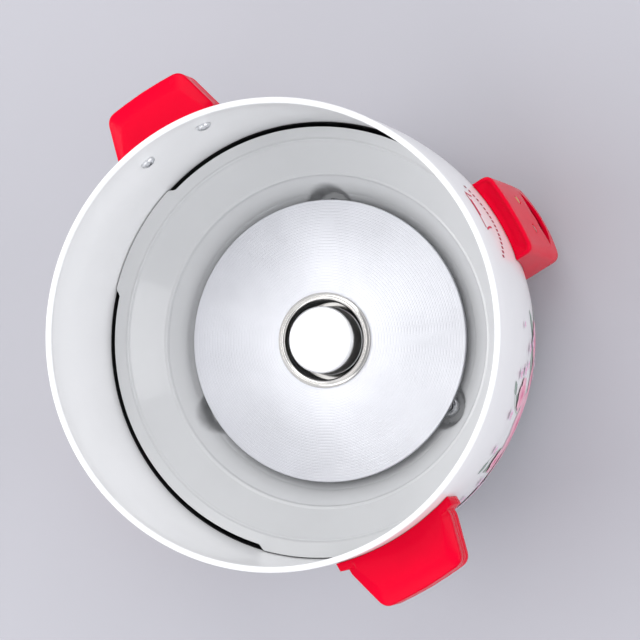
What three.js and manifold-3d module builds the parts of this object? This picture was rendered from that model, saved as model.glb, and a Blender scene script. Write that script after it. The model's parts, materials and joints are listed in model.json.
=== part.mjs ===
// Drum-shaped rice cooker body: painted steel shell, heat-shield dish, domed heating plate with its
// magnetic limiter, cooking lever with microswitch, side handles, control housing, rear power inlet,
// base plate and feet. Millimetres, +Z up, origin on the floor under the shell's axis.
// The control housing faces -Y and the handles point along +X and -X.
import * as THREE from 'three';
import { mergeVertices } from 'three/addons/utils/BufferGeometryUtils.js';
import Module from 'manifold-3d';

const wasm = await Module();
wasm.setup();

// ---------------------------------------------------------------- driving dimensions
const CLEARANCE = 0.3;              // gap kept between neighbouring pieces
const RIM_Z = 190;                  // top of the rolled rim above the floor
const RIM_RADIUS = 135;             // outside of the rolled rim
const BEAD_RADIUS = 1.8;            // rolled rim's own section
const SHEET = 0.8;                  // shell sheet thickness
const SHELL_BOTTOM_Z = 17;
const SHELL_FLANGE_INNER = 100;     // inner edge of the shell's turned-in bottom flange
// radius of the shell's outside at chosen heights, from under the rim to the bottom bend
const SHELL_PROFILE = [
  [133.0, 186.2], [134.2, 172], [134.8, 148], [134.4, 120], [132.4, 92],
  [128.4, 65], [123.2, 40], [118.6, 27], [113.5, 19.5],
];
const SHELL_SEGMENTS = 48;

const DISH_SHEET = 1.0;
const DISH_TAB_RADIUS = 130.9;      // flange tabs reach the shell
const DISH_EDGE_RADIUS = 128.1;     // flange edge between the tabs
const DISH_EDGE_Z = 92.3;
const DISH_FOLD = [120.7, 89.5];    // flange to wall
const DISH_CREASE = [101, 72];      // wall to well
const DISH_WELL = [91, 53];
const DISH_FLOOR_Z = 50;
const DISH_HOLE_RADIUS = 34;
const DISH_TAB_HALF_ANGLE = 15.5;
const TAB_ANGLES = [0, 120, 240];
const DIMPLE_RADIUS = 13;
const DIMPLE_FLOOR_Z = 46;

const PLATE_RADIUS = 86.4;
const PLATE_EDGE_Z = 65;            // top of the plate's outer edge
const PLATE_BORE_RADIUS = 27.2;
const PLATE_CROWN_Z = 72;           // plate height at the bore
const PLATE_BOTTOM_Z = 60.8;
const POST_CIRCLE = 81.5;           // posts and long screws stand on this radius
const POST_ANGLES = [60, -60, 180];
const POST_RADIUS = 5.5;
const ELEMENT_RING_RADIUS = 57;
const TERMINAL_ANGLES = [162, 198];

const SLEEVE_LIP_RADIUS = 29;
const SLEEVE_BORE_RADIUS = 24.4;
const SLEEVE_WALL = 1.2;
const SLEEVE_BOTTOM_Z = 51;
const CAP_RADIUS = 20.4;
const CAP_TOP_Z = 80.7;
const CAP_BOTTOM_Z = 60.5;
const CAP_WALL = 1;
const FERRITE_RADIUS = 15;
const FERRITE_BOTTOM_Z = 63.5;
const MAGNET_RADIUS = 11.4;
const MAGNET_TOP_Z = 47.5;
const ROD_RADIUS = 2;
const ROD_BOTTOM_Z = 22;

const PIVOT_Y = -80;                // cooking lever's hinge line, along X
const PIVOT_Z = 28.25;
const ARM_THICKNESS = 1.5;
const ARM_HALF_WIDTH = 6;
const ARM_TOP_Z = 29;
const SLOT_Z = 39;                  // eye-shaped lever slot, centre height
const SLOT_HALF_WIDTH = 17.7;
const SLOT_HALF_HEIGHT = 10;
const PADDLE_HALF_WIDTH = 10;
const PADDLE_FRONT_Y = -146.8;

const HOUSING_TOP_Z = 105;
const HOUSING_BOTTOM_Z = 22;
const HOUSING_WALL = 2.2;
const HOUSING_BACK_Y = -100;
// control housing plan at chosen heights: height, half width, corner y, middle y
const HOUSING_PLAN = [
  [22, 26.6, -142.2, -145.6], [45, 26.6, -142.6, -146], [75, 26.4, -142.8, -145.4],
  [105, 26.2, -142.8, -144.4],
];

const HANDLE_TOP_Z = 166;
const HANDLE_SEAM_Z = 150;
const HANDLE_BOTTOM_Z = 142;
const HANDLE_REACH = 167;           // distance of the grip's outer edge from the axis
const HANDLE_SCREW_Z = 154;
const HANDLE_SCREW_ANGLE = 8.6;     // either side of the handle's middle

const BASE_RADIUS = 108;
const BASE_BOTTOM_Z = 14;
const BASE_TOP_Z = 16.7;
const FOOT_CIRCLE = 93;
const FOOT_ANGLES = [45, 135, 225, 315];

const INLET_Z = 46;
const INLET_FRONT_Y = 144.5;
const INLET_HALF_WIDTH = 22;
const INLET_SOCKET = [13, 10];      // socket recess, half width and half height
const INLET_FLOOR_Y = 129.5;

// ---------------------------------------------------------------- geometry helpers
const rad = THREE.MathUtils.degToRad;

// Point at a radius and an angle counted from the front (-Y) towards +X.
function around(radius, degrees, z = 0) {
  const angle = rad(degrees);
  return new THREE.Vector3(radius * Math.sin(angle), -radius * Math.cos(angle), z);
}

// A closed geometry as a manifold solid, with its faces turned outwards.
function solidOf(geometry) {
  const bare = new THREE.BufferGeometry();
  bare.setAttribute('position', geometry.attributes.position.clone());
  if (geometry.index) bare.setIndex(geometry.index.clone());
  const merged = mergeVertices(bare, 1e-4);
  const position = merged.attributes.position;
  const index = merged.index.array;
  const corners = [0, 1, 2].map(() => new THREE.Vector3());
  const triangles = [];
  let volume = 0;
  for (let i = 0; i < index.length; i += 3) {
    const [a, b, c] = [index[i], index[i + 1], index[i + 2]];
    if (a === b || b === c || c === a) continue;
    triangles.push([a, b, c]);
    [a, b, c].forEach((vertex, k) => corners[k].fromBufferAttribute(position, vertex));
    volume += corners[0].dot(corners[1].cross(corners[2]));
  }
  const outward = volume < 0 ? triangles.map(([a, b, c]) => [a, c, b]) : triangles;
  return new wasm.Manifold(new wasm.Mesh({
    numProp: 3,
    vertProperties: new Float32Array(position.array),
    triVerts: new Uint32Array(outward.flat()),
  }));
}

function geometryOf(solid) {
  const mesh = solid.getMesh();
  const geometry = new THREE.BufferGeometry();
  geometry.setAttribute('position', new THREE.BufferAttribute(mesh.vertProperties, 3));
  geometry.setIndex(new THREE.BufferAttribute(mesh.triVerts, 1));
  geometry.computeVertexNormals();
  return geometry;
}

const join = (first, ...others) => others.reduce((solid, other) => solid.add(other), first);
const cut = (first, ...others) => others.reduce((solid, other) => solid.subtract(other), first);

// Solid of revolution about Z from a profile of [radius, height] points.
function turned(profile, segments = 24) {
  const points = profile.map(([radius, height]) => new THREE.Vector2(radius, height));
  return solidOf(new THREE.LatheGeometry(points, segments).rotateX(Math.PI / 2));
}

const disc = (radius, low, high, segments = 24) =>
  turned([[0, low], [radius, low], [radius, high], [0, high]], segments);

const ring = (outer, inner, low, high, segments = 24) =>
  turned([[inner, low], [outer, low], [outer, high], [inner, high], [inner, low]], segments);

function block(xLow, xHigh, yLow, yHigh, zLow, zHigh) {
  const geometry = new THREE.BoxGeometry(xHigh - xLow, yHigh - yLow, zHigh - zLow);
  geometry.translate((xLow + xHigh) / 2, (yLow + yHigh) / 2, (zLow + zHigh) / 2);
  return solidOf(geometry);
}

// Cylinder between two points.
function bar(from, to, radius, segments = 16) {
  const along = new THREE.Vector3().subVectors(to, from);
  const geometry = new THREE.CylinderGeometry(radius, radius, along.length(), segments);
  geometry.applyQuaternion(new THREE.Quaternion().setFromUnitVectors(
    new THREE.Vector3(0, 1, 0), along.clone().normalize()));
  const middle = new THREE.Vector3().addVectors(from, to).multiplyScalar(0.5);
  return solidOf(geometry.translate(middle.x, middle.y, middle.z));
}

// Outline of [x, y] points extruded along Z.
function prism(outline, low, high) {
  const shape = outline instanceof THREE.Shape ? outline
    : new THREE.Shape(outline.map(([x, y]) => new THREE.Vector2(x, y)));
  const geometry = new THREE.ExtrudeGeometry(shape, {
    depth: high - low, bevelEnabled: false, curveSegments: 6,
  });
  return solidOf(geometry.translate(0, 0, low));
}

// The same, extruded along Y: the outline's points are [x, z].
function prismAlongY(outline, yLow, yHigh) {
  const shape = new THREE.Shape(outline.map(([x, z]) => new THREE.Vector2(x, z)));
  const geometry = new THREE.ExtrudeGeometry(shape, { depth: yHigh - yLow, bevelEnabled: false });
  return solidOf(geometry.rotateX(Math.PI / 2).translate(0, yHigh, 0));
}

// The same, extruded along X to both sides of the middle: the outline's points are [y, z].
function prismAlongX(outline, halfWidth) {
  const shape = new THREE.Shape(outline.map(([y, z]) => new THREE.Vector2(y, z)));
  const geometry = new THREE.ExtrudeGeometry(shape, { depth: 2 * halfWidth, bevelEnabled: false });
  geometry.translate(0, 0, -halfWidth);
  geometry.applyMatrix4(new THREE.Matrix4().makeBasis(
    new THREE.Vector3(0, 1, 0), new THREE.Vector3(0, 0, 1), new THREE.Vector3(1, 0, 0)));
  return solidOf(geometry);
}

// Solid through horizontal loops of [x, y] points, all with the same number of points.
function loft(loops, heights) {
  const count = loops[0].length;
  const positions = loops.flatMap((loop, level) => loop.flatMap(([x, y]) => [x, y, heights[level]]));
  const faces = THREE.ShapeUtils.triangulateShape(loops[0].map(([x, y]) => new THREE.Vector2(x, y)), []);
  const index = faces.flatMap(([a, b, c]) => [a, c, b]);
  const top = (loops.length - 1) * count;
  index.push(...faces.flatMap(([a, b, c]) => [a + top, b + top, c + top]));
  for (let level = 0; level + 1 < loops.length; level += 1) {
    for (let i = 0; i < count; i += 1) {
      const a = level * count + i;
      const b = level * count + ((i + 1) % count);
      index.push(a, b, b + count, a, b + count, a + count);
    }
  }
  const geometry = new THREE.BufferGeometry();
  geometry.setAttribute('position', new THREE.Float32BufferAttribute(positions, 3));
  geometry.setIndex(index);
  return solidOf(geometry);
}

// Round wire swept along a curve.
function wire(curve, radius, sides, steps) {
  const section = new THREE.Shape();
  for (let i = 0; i < sides; i += 1) {
    const angle = (2 * Math.PI * i) / sides;
    section[i ? 'lineTo' : 'moveTo'](radius * Math.cos(angle), radius * Math.sin(angle));
  }
  section.closePath();
  return solidOf(new THREE.ExtrudeGeometry(section, { extrudePath: curve, steps, bevelEnabled: false }));
}

class Helix extends THREE.Curve {
  constructor(radius, low, high, turns) {
    super();
    Object.assign(this, { radius, low, high, turns });
  }

  getPoint(t, target = new THREE.Vector3()) {
    const angle = 2 * Math.PI * this.turns * t;
    const z = this.low + (this.high - this.low) * t;
    return target.set(this.radius * Math.cos(angle), this.radius * Math.sin(angle), z);
  }
}

// ---------------------------------------------------------------- materials and assembly
const FINISHES = {
  white_paint: { color: 0xe6e6e8, roughness: 0.3, metalness: 0 },
  dish_paint: { color: 0xd2d3d5, roughness: 0.45, metalness: 0 },
  plate_aluminium: { color: 0xe6e7ea, roughness: 0.35, metalness: 1 },
  chrome: { color: 0xd8d4cc, roughness: 0.08, metalness: 1 },
  cap_aluminium: { color: 0xf2f2f5, roughness: 0.3, metalness: 1 },
  red_plastic: { color: 0xf0002c, roughness: 0.25, metalness: 0 },
  black_plastic: { color: 0x1c1c1e, roughness: 0.5, metalness: 0 },
  foot_rubber: { color: 0x262626, roughness: 0.8, metalness: 0 },
  zinc_steel: { color: 0xb4b6ba, roughness: 0.35, metalness: 1 },
  ferrite: { color: 0x2c2c30, roughness: 0.6, metalness: 0.3 },
  brass: { color: 0xc8a24a, roughness: 0.3, metalness: 1 },
  lamp_red: { color: 0xd82018, roughness: 0.15, metalness: 0 },
  lamp_amber: { color: 0xe8a030, roughness: 0.15, metalness: 0 },
  circuit_board: { color: 0x9a7b4f, roughness: 0.6, metalness: 0 },
  lead_insulation: { color: 0xb8b4a8, roughness: 0.6, metalness: 0 },
};

const cooker = new THREE.Group();
cooker.name = 'rice_cooker';

function add(name, solid, finish) {
  const mesh = new THREE.Mesh(geometryOf(solid), new THREE.MeshStandardMaterial(FINISHES[finish]));
  mesh.name = name;
  cooker.add(mesh);
  return mesh;
}

// ---------------------------------------------------------------- outer shell
const shellCurve = new THREE.SplineCurve(
  SHELL_PROFILE.map(([radius, height]) => new THREE.Vector2(radius, height)));

function shellWall(divisions) {
  return shellCurve.getPoints(divisions).map((point) => [point.x, point.y]);
}

// Outside radius of the shell at a height.
function shellRadius(z) {
  const wall = shellWall(60);
  const i = Math.max(1, wall.findIndex((point) => point[1] <= z));
  const [[r0, z0], [r1, z1]] = [wall[i - 1], wall[i]];
  return r0 + ((r1 - r0) * (z - z0)) / (z1 - z0);
}

// Everything inside the shell's outside, grown by a gap: the tool that fits pieces to the shell.
function shellEnvelope(gap) {
  const wall = shellWall(14).map(([radius, z]) => [radius + gap, z]);
  return turned([[0, RIM_Z], [wall[0][0], RIM_Z], ...wall, [wall.at(-1)[0], 0], [0, 0]], SHELL_SEGMENTS);
}

// Straight hole along the shell's radius at an angle and a height.
const radialHole = (degrees, z, radius, inner = 100, outer = 150) =>
  bar(around(inner, degrees, z), around(outer, degrees, z), radius, 12);

function outerShell() {
  const outside = shellWall(7);
  const inside = outside.map(([radius, z]) => [radius - SHEET, Math.max(z, SHELL_BOTTOM_Z + 2)]);
  const bead = [];
  for (let degrees = -60; degrees <= 240; degrees += 75) {
    bead.push([
      RIM_RADIUS - BEAD_RADIUS + BEAD_RADIUS * Math.cos(rad(degrees)),
      RIM_Z - BEAD_RADIUS + BEAD_RADIUS * Math.sin(rad(degrees)),
    ]);
  }
  const bend = outside.at(-1)[0];
  const profile = [
    ...bead, ...inside, [bend - 5, SHELL_BOTTOM_Z + SHEET], [SHELL_FLANGE_INNER, SHELL_BOTTOM_Z + SHEET],
    [SHELL_FLANGE_INNER, SHELL_BOTTOM_Z], [bend - 4, SHELL_BOTTOM_Z], ...outside.reverse(), bead[0],
  ];
  const leverOpening = block(-14, 14, -140, -100, 24, 54);
  const inletOpening = block(-15, 15, 100, 140, INLET_Z - 11.5, INLET_Z + 11.5);
  const screwHoles = [
    ...handleScrewAngles().map((degrees) => radialHole(degrees, HANDLE_SCREW_Z, 2)),
    ...[-1, 1].map((side) => bar(housingScrewPoint(side, -120), housingScrewPoint(side, -150), 1.9, 12)),
    ...[-1, 1].map((side) => bar(inletScrewPoint(side, 105), inletScrewPoint(side, 140), 1.9, 12)),
  ];
  return cut(turned(profile, SHELL_SEGMENTS), leverOpening, inletOpening, ...screwHoles);
}

function handleScrewAngles() {
  return [90, 270].flatMap((middle) => [middle - HANDLE_SCREW_ANGLE, middle + HANDLE_SCREW_ANGLE]);
}

const housingScrewPoint = (side, y) => new THREE.Vector3(15 * side, y, 84);
const inletScrewPoint = (side, y) => new THREE.Vector3(16 * side, y, INLET_Z + 15);

// ---------------------------------------------------------------- heat-shield dish and plate
function heatShieldDish() {
  const top = [
    [DISH_TAB_RADIUS, DISH_EDGE_Z + 0.5], DISH_FOLD, DISH_CREASE, DISH_WELL,
    [DISH_WELL[0] - 4, DISH_FLOOR_Z], [DISH_HOLE_RADIUS, DISH_FLOOR_Z],
  ];
  const under = top.map(([radius, z]) => [radius, z - DISH_SHEET * 1.15]).reverse();
  let dish = turned([...top, ...under, top[0]], SHELL_SEGMENTS);
  for (const tab of TAB_ANGLES) {
    const sector = [];
    for (const [radius, from, to] of [[DISH_EDGE_RADIUS, 1, -1], [140, -1, 1]]) {
      for (let step = 0; step <= 6; step += 1) {
        const span = 60 - DISH_TAB_HALF_ANGLE;
        const point = around(radius, tab + 60 + span * (from + ((to - from) * step) / 6));
        sector.push([point.x, point.y]);
      }
    }
    dish = cut(dish, prism(sector, 80, 100));
  }
  for (const degrees of POST_ANGLES) {
    const { x, y } = around(POST_CIRCLE, degrees);
    const well = disc(DIMPLE_RADIUS, DIMPLE_FLOOR_Z, 60.5, 16).translate([x, y, 0]);
    const cup = disc(DIMPLE_RADIUS + DISH_SHEET, DIMPLE_FLOOR_Z - DISH_SHEET, 60, 16).translate([x, y, 0]);
    const outsideDish = turned([
      [0, DIMPLE_FLOOR_Z - 5], [DISH_WELL[0] + 20, DIMPLE_FLOOR_Z - 5], [DISH_CREASE[0], DISH_CREASE[1]],
      DISH_WELL, [DISH_WELL[0] - 4, DISH_FLOOR_Z], [0, DISH_FLOOR_Z],
    ], SHELL_SEGMENTS);
    dish = cut(join(dish, cup.intersect(outsideDish)), well,
      bar(new THREE.Vector3(x, y, 40), new THREE.Vector3(x, y, 50), 3.6));
  }
  for (const degrees of TERMINAL_ANGLES) {
    const { x, y } = around(ELEMENT_RING_RADIUS, degrees);
    dish = cut(dish, disc(4.5, 45, 55, 16).translate([x, y, 0]));
  }
  return dish;
}

function heatingPlate() {
  const crown = PLATE_CROWN_Z - PLATE_EDGE_Z;
  const top = [];
  for (let step = 0; step <= 4; step += 1) {
    const t = step / 4;
    const radius = PLATE_RADIUS - 0.8 - (PLATE_RADIUS - 0.8 - SLEEVE_LIP_RADIUS) * t;
    top.push([radius, PLATE_EDGE_Z + crown * Math.sin((t * Math.PI) / 2)]);
  }
  const profile = [
    [PLATE_BORE_RADIUS, PLATE_BOTTOM_Z], [ELEMENT_RING_RADIUS - 6, PLATE_BOTTOM_Z],
    [ELEMENT_RING_RADIUS - 4, 55], [ELEMENT_RING_RADIUS + 4, 55], [ELEMENT_RING_RADIUS + 6, PLATE_BOTTOM_Z],
    [PLATE_RADIUS - 1, PLATE_BOTTOM_Z], [PLATE_RADIUS, PLATE_BOTTOM_Z + 1],
    [PLATE_RADIUS, PLATE_EDGE_Z - 0.7], ...top, [PLATE_BORE_RADIUS, PLATE_CROWN_Z],
    [PLATE_BORE_RADIUS, PLATE_BOTTOM_Z],
  ];
  const screwHoles = POST_ANGLES.map((degrees) => {
    const { x, y } = around(POST_CIRCLE, degrees);
    return disc(2.2, 55, 63.8, 12).translate([x, y, 0]);
  });
  return cut(turned(profile, SHELL_SEGMENTS), ...screwHoles);
}

function plateFixings() {
  POST_ANGLES.forEach((degrees, i) => {
    const { x, y } = around(POST_CIRCLE, degrees);
    const post = cut(
      join(disc(POST_RADIUS, SHELL_BOTTOM_Z, DIMPLE_FLOOR_Z - DISH_SHEET - CLEARANCE, 12),
        disc(3.2, SHELL_BOTTOM_Z, PLATE_BOTTOM_Z - CLEARANCE, 12)),
      disc(2.2, 0, 70, 12));
    add(`plate_post_${i + 1}`, post, 'zinc_steel').position.set(x, y, 0);
    const screw = add(`plate_screw_${i + 1}`, panScrew(3.8, 2.4, 1.8, 49.5), 'zinc_steel');
    screw.position.set(x, y, BASE_BOTTOM_Z - CLEARANCE);
    screw.rotation.x = Math.PI;
  });
}

// Pan-head screw with a cross recess: the head's flat underside at z = 0, the shaft below it.
function panScrew(headRadius, headHeight, shaftRadius, shaftLength) {
  const body = turned([
    [0, -shaftLength], [shaftRadius, 1.2 - shaftLength], [shaftRadius, 0], [headRadius, 0],
    [headRadius, headHeight * 0.4], [headRadius * 0.6, headHeight], [0, headHeight],
  ], 10);
  const reach = headRadius * 0.62;
  const groove = 0.12 * headRadius;
  return cut(body,
    block(-reach, reach, -groove, groove, headHeight * 0.45, headHeight + 1),
    block(-groove, groove, -reach, reach, headHeight * 0.45, headHeight + 1));
}

// ---------------------------------------------------------------- magnetic limiter
function limiterSleeve() {
  const lipTop = PLATE_CROWN_Z + CLEARANCE;
  return turned([
    [SLEEVE_LIP_RADIUS, lipTop], [SLEEVE_LIP_RADIUS - 0.6, lipTop + 1.4],
    [SLEEVE_LIP_RADIUS - 2.4, lipTop + 2],
    [SLEEVE_BORE_RADIUS + 0.8, lipTop + 1.2], [SLEEVE_BORE_RADIUS, lipTop - 1.5],
    [SLEEVE_BORE_RADIUS, SLEEVE_BOTTOM_Z + 1], [14.5, SLEEVE_BOTTOM_Z + 1], [14.5, SLEEVE_BOTTOM_Z],
    [SLEEVE_BORE_RADIUS + SLEEVE_WALL, SLEEVE_BOTTOM_Z], [SLEEVE_BORE_RADIUS + SLEEVE_WALL, lipTop],
    [SLEEVE_LIP_RADIUS, lipTop],
  ], 32);
}

function limiterCap() {
  const inner = CAP_RADIUS - CAP_WALL;
  return turned([
    [0, CAP_TOP_Z], [CAP_RADIUS - 2, CAP_TOP_Z], [CAP_RADIUS - 0.6, CAP_TOP_Z - 0.6],
    [CAP_RADIUS, CAP_TOP_Z - 2],
    [CAP_RADIUS, CAP_BOTTOM_Z + 1.2], [CAP_RADIUS + 2.2, CAP_BOTTOM_Z + 1], [CAP_RADIUS + 2.2, CAP_BOTTOM_Z],
    [inner, CAP_BOTTOM_Z], [inner, CAP_TOP_Z - CAP_WALL], [0, CAP_TOP_Z - CAP_WALL],
  ], 32);
}

function limiter() {
  add('limiter_sleeve', limiterSleeve(), 'chrome');
  add('limiter_cap', limiterCap(), 'cap_aluminium');
  const ferrite = join(disc(FERRITE_RADIUS, FERRITE_BOTTOM_Z, 70, 20),
    disc(5, FERRITE_BOTTOM_Z, CAP_TOP_Z - CAP_WALL - CLEARANCE, 16));
  add('ferrite_disc', ferrite, 'ferrite');
  const spring = wire(new Helix(17.3, SLEEVE_BOTTOM_Z + 2, CAP_TOP_Z - CAP_WALL - 1, 5), 0.6, 4, 50);
  add('cap_spring', spring, 'zinc_steel');
  const holderFloor = MAGNET_TOP_Z - 6;
  const holder = turned([
    [ROD_RADIUS + CLEARANCE, holderFloor - 1.2], [13, holderFloor - 1.2], [13, MAGNET_TOP_Z],
    [12, MAGNET_TOP_Z], [12, holderFloor], [ROD_RADIUS + CLEARANCE, holderFloor],
    [ROD_RADIUS + CLEARANCE, holderFloor - 1.2],
  ], 20);
  add('magnet_holder', holder, 'zinc_steel');
  const magnet = ring(MAGNET_RADIUS, ROD_RADIUS + CLEARANCE, holderFloor + CLEARANCE, MAGNET_TOP_Z - 0.2, 20);
  add('magnet', magnet, 'ferrite');
  const collar = ARM_TOP_Z + 2 * CLEARANCE;
  const rod = turned([
    [0, ROD_BOTTOM_Z], [ROD_RADIUS, ROD_BOTTOM_Z], [ROD_RADIUS, collar], [4.5, collar], [4.5, collar + 2],
    [ROD_RADIUS, collar + 2], [ROD_RADIUS, MAGNET_TOP_Z - 0.6], [0, MAGNET_TOP_Z - 0.6],
  ], 16);
  add('pull_rod', rod, 'zinc_steel');
}

// ---------------------------------------------------------------- cooking lever and microswitch
// Lens outline about a height: half width, height above and depth below its ends' level.
function lens(halfWidth, rise, drop, z, steps = 8) {
  const upper = [];
  const lower = [];
  for (let step = 0; step <= steps; step += 1) {
    const x = halfWidth * (1 - (2 * step) / steps);
    const swell = 1 - (x / halfWidth) ** 2;
    upper.push([x, z + rise * swell]);
    if (step > 0 && step < steps) lower.push([-x, z - drop * swell]);
  }
  return [...upper, ...lower];
}

function leverPaddle() {
  const level = SLOT_Z + 3.2;
  const face = prismAlongY(lens(PADDLE_HALF_WIDTH, 4.3, 3.6, level), PADDLE_FRONT_Y, -136);
  const rounding = turned([[0, -20], [36, -20], [36, 20], [0, 20]], 60)
    .translate([0, PADDLE_FRONT_Y + 36, level]);
  const neck = block(-ARM_HALF_WIDTH - 2, ARM_HALF_WIDTH + 2, -137, -120.5, level - 3, level + 2.4);
  const armSocket = block(-ARM_HALF_WIDTH - CLEARANCE, ARM_HALF_WIDTH + CLEARANCE, -133 - CLEARANCE, -110,
    level - 1.2, level + 1.2);
  return cut(join(face.intersect(rounding), neck), armSocket);
}

function leverArm() {
  const paddleLevel = SLOT_Z + 3.2 + ARM_THICKNESS / 2;
  const low = ARM_TOP_Z - ARM_THICKNESS;
  const side = [
    [-133, paddleLevel], [-120, paddleLevel], [-111, ARM_TOP_Z], [7, ARM_TOP_Z], [7, low],
    [-111.6, low], [-120.6, paddleLevel - ARM_THICKNESS], [-133, paddleLevel - ARM_THICKNESS],
  ];
  const knuckle = bar(new THREE.Vector3(-ARM_HALF_WIDTH, PIVOT_Y, PIVOT_Z),
    new THREE.Vector3(ARM_HALF_WIDTH, PIVOT_Y, PIVOT_Z), 3.4, 20);
  const pinHole = bar(new THREE.Vector3(-20, PIVOT_Y, PIVOT_Z), new THREE.Vector3(20, PIVOT_Y, PIVOT_Z), 1.8);
  return cut(join(prismAlongX(side, ARM_HALF_WIDTH), knuckle), pinHole, disc(3, 20, 40, 16));
}

const pinAlongX = (radius, halfLength, y, z) =>
  bar(new THREE.Vector3(-halfLength, y, z), new THREE.Vector3(halfLength, y, z), radius, 12);

function leverAssembly() {
  add('lever_paddle', leverPaddle(), 'red_plastic');
  add('lever_arm', leverArm(), 'zinc_steel');
  const bracket = cut(block(-9.7, 9.7, -88, -46, SHELL_BOTTOM_Z, 44), block(-8.5, 8.5, -100, -40, 18.2, 50),
    pinAlongX(1.8, 20, PIVOT_Y, PIVOT_Z), pinAlongX(1.4, 20, -68, 39.5), pinAlongX(1.4, 20, -56, 39.5));
  add('pivot_bracket', bracket, 'zinc_steel');
  add('pivot_pin', pinAlongX(1.5, 11, PIVOT_Y, PIVOT_Z), 'zinc_steel');
  const returnSpring = wire(new Helix(4, 17.7, ARM_TOP_Z - ARM_THICKNESS - 1, 4), 0.5, 4, 32);
  add('lever_spring', returnSpring, 'zinc_steel').position.set(0, -94.5, 0);
  const body = cut(block(-3.2, 3.2, -72, -52, 32, 43), disc(1.5, 30, 38.6, 12).translate([0, -62, 0]),
    pinAlongX(1.4, 20, -68, 39.5), pinAlongX(1.4, 20, -56, 39.5));
  add('microswitch', body, 'black_plastic');
  add('switch_plunger', disc(1.2, ARM_TOP_Z + CLEARANCE, 36, 12), 'red_plastic').position.set(0, -62, 0);
  add('switch_rivet_front', pinAlongX(1.1, 10.6, -68, 39.5), 'brass');
  add('switch_rivet_rear', pinAlongX(1.1, 10.6, -56, 39.5), 'brass');
}

// ---------------------------------------------------------------- control housing and lamps
// Plan loop of the housing, drawn in by an inset on its sides and front.
function housingLoop([, halfWidth, cornerY, middleY], inset) {
  const half = halfWidth - inset;
  const loop = [[half, HOUSING_BACK_Y], [half, cornerY + 4 + inset]];
  const steps = 8;
  for (let step = steps; step >= -steps; step -= 2) {
    const t = step / steps;
    const x = (half - 1) * t;
    loop.push([x, inset + middleY + (cornerY - middleY) * t * t]);
  }
  loop.push([-half, cornerY + 4 + inset], [-half, HOUSING_BACK_Y]);
  return loop.reverse();
}

function controlHousing() {
  const heights = HOUSING_PLAN.map(([z]) => z);
  const outer = loft(HOUSING_PLAN.map((row) => housingLoop(row, 0)), heights);
  const roofZ = HOUSING_TOP_Z - 6;
  const inner = loft(HOUSING_PLAN.map((row) => housingLoop(row, HOUSING_WALL)),
    [HOUSING_BOTTOM_Z + HOUSING_WALL, ...heights.slice(1, 3), roofZ]);
  const trayLoop = housingLoop(HOUSING_PLAN.at(-1), 2.6);
  const tray = loft([trayLoop, trayLoop], [HOUSING_TOP_Z - 3, HOUSING_TOP_Z + 1]);
  const slot = prismAlongY(lens(SLOT_HALF_WIDTH, SLOT_HALF_HEIGHT, SLOT_HALF_HEIGHT, SLOT_Z, 16), -155, -135);
  const bosses = [-1, 1].map((side) =>
    bar(housingScrewPoint(side, -128), housingScrewPoint(side, -142.5), 3.6));
  const hollow = cut(outer, inner, tray, slot, ...lampPlaces().map((x) => lampBar(x, 3.1, -150, -138)));
  const screwHoles = [-1, 1].map((side) =>
    bar(housingScrewPoint(side, -120), housingScrewPoint(side, -139), 1.8, 12));
  return cut(join(hollow, ...bosses), ...screwHoles, shellEnvelope(CLEARANCE));
}

const lampPlaces = () => [-10, 10];
const lampBar = (x, radius, yFront, yBack) =>
  bar(new THREE.Vector3(x, yFront, 70), new THREE.Vector3(x, yBack, 70), radius);

function controlFront() {
  add('control_housing', controlHousing(), 'red_plastic');
  for (const [side, name] of [[-1, 'housing_screw_left'], [1, 'housing_screw_right']]) {
    const screw = add(name, panScrew(3.2, 2, 1.5, 8), 'zinc_steel');
    const start = housingScrewPoint(side, -128.9);
    screw.position.copy(start);
    screw.rotation.x = -Math.PI / 2;
  }
  lampPlaces().forEach((x, i) => {
    const body = join(lampBar(x, 2.8, -145.4, -139), lampBar(x, 3.8, -141.4, -138));
    add(i ? 'lamp_lens_warm' : 'lamp_lens_cook', body, i ? 'lamp_amber' : 'lamp_red');
  });
  add('lamp_board', block(-17, 17, -136.6, -135, 62, 78), 'circuit_board');
}

// ---------------------------------------------------------------- handles
// Plan outline of a handle that points along +X, drawn in by an inset.
function handleOutline(inset = 0) {
  const reach = HANDLE_REACH - inset;
  const shape = new THREE.Shape();
  shape.moveTo(120, -33.5 + inset);
  shape.lineTo(139, -33.5 + inset);
  shape.lineTo(reach - 8, -28.4 + inset);
  shape.quadraticCurveTo(reach - 1.2, -27.4 + inset, reach - 1, -21 + inset);
  shape.quadraticCurveTo(reach + 0.9, 0, reach - 1, 21 - inset);
  shape.quadraticCurveTo(reach - 1.2, 27.4 - inset, reach - 8, 28.4 - inset);
  shape.lineTo(139, 33.5 - inset);
  shape.lineTo(120, 33.5 - inset);
  shape.closePath();
  return shape;
}

// Mounting pad that follows the shell.
function handlePad(low, high) {
  const pad = turned([[0, low], [139.6, low], [139.6, high], [0, high]], SHELL_SEGMENTS);
  return pad.intersect(block(100, 150, -38, 38, low - 1, high + 1));
}

function handleHalf(low, high, hollowLow, hollowHigh) {
  const wall = 2.6;
  const solid = join(prism(handleOutline(), low, high), handlePad(low, high));
  const hollow = cut(prism(handleOutline(wall), hollowLow, hollowHigh), block(100, 142.5, -60, 60, 0, 200));
  return cut(solid, hollow, shellEnvelope(CLEARANCE));
}

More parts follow.
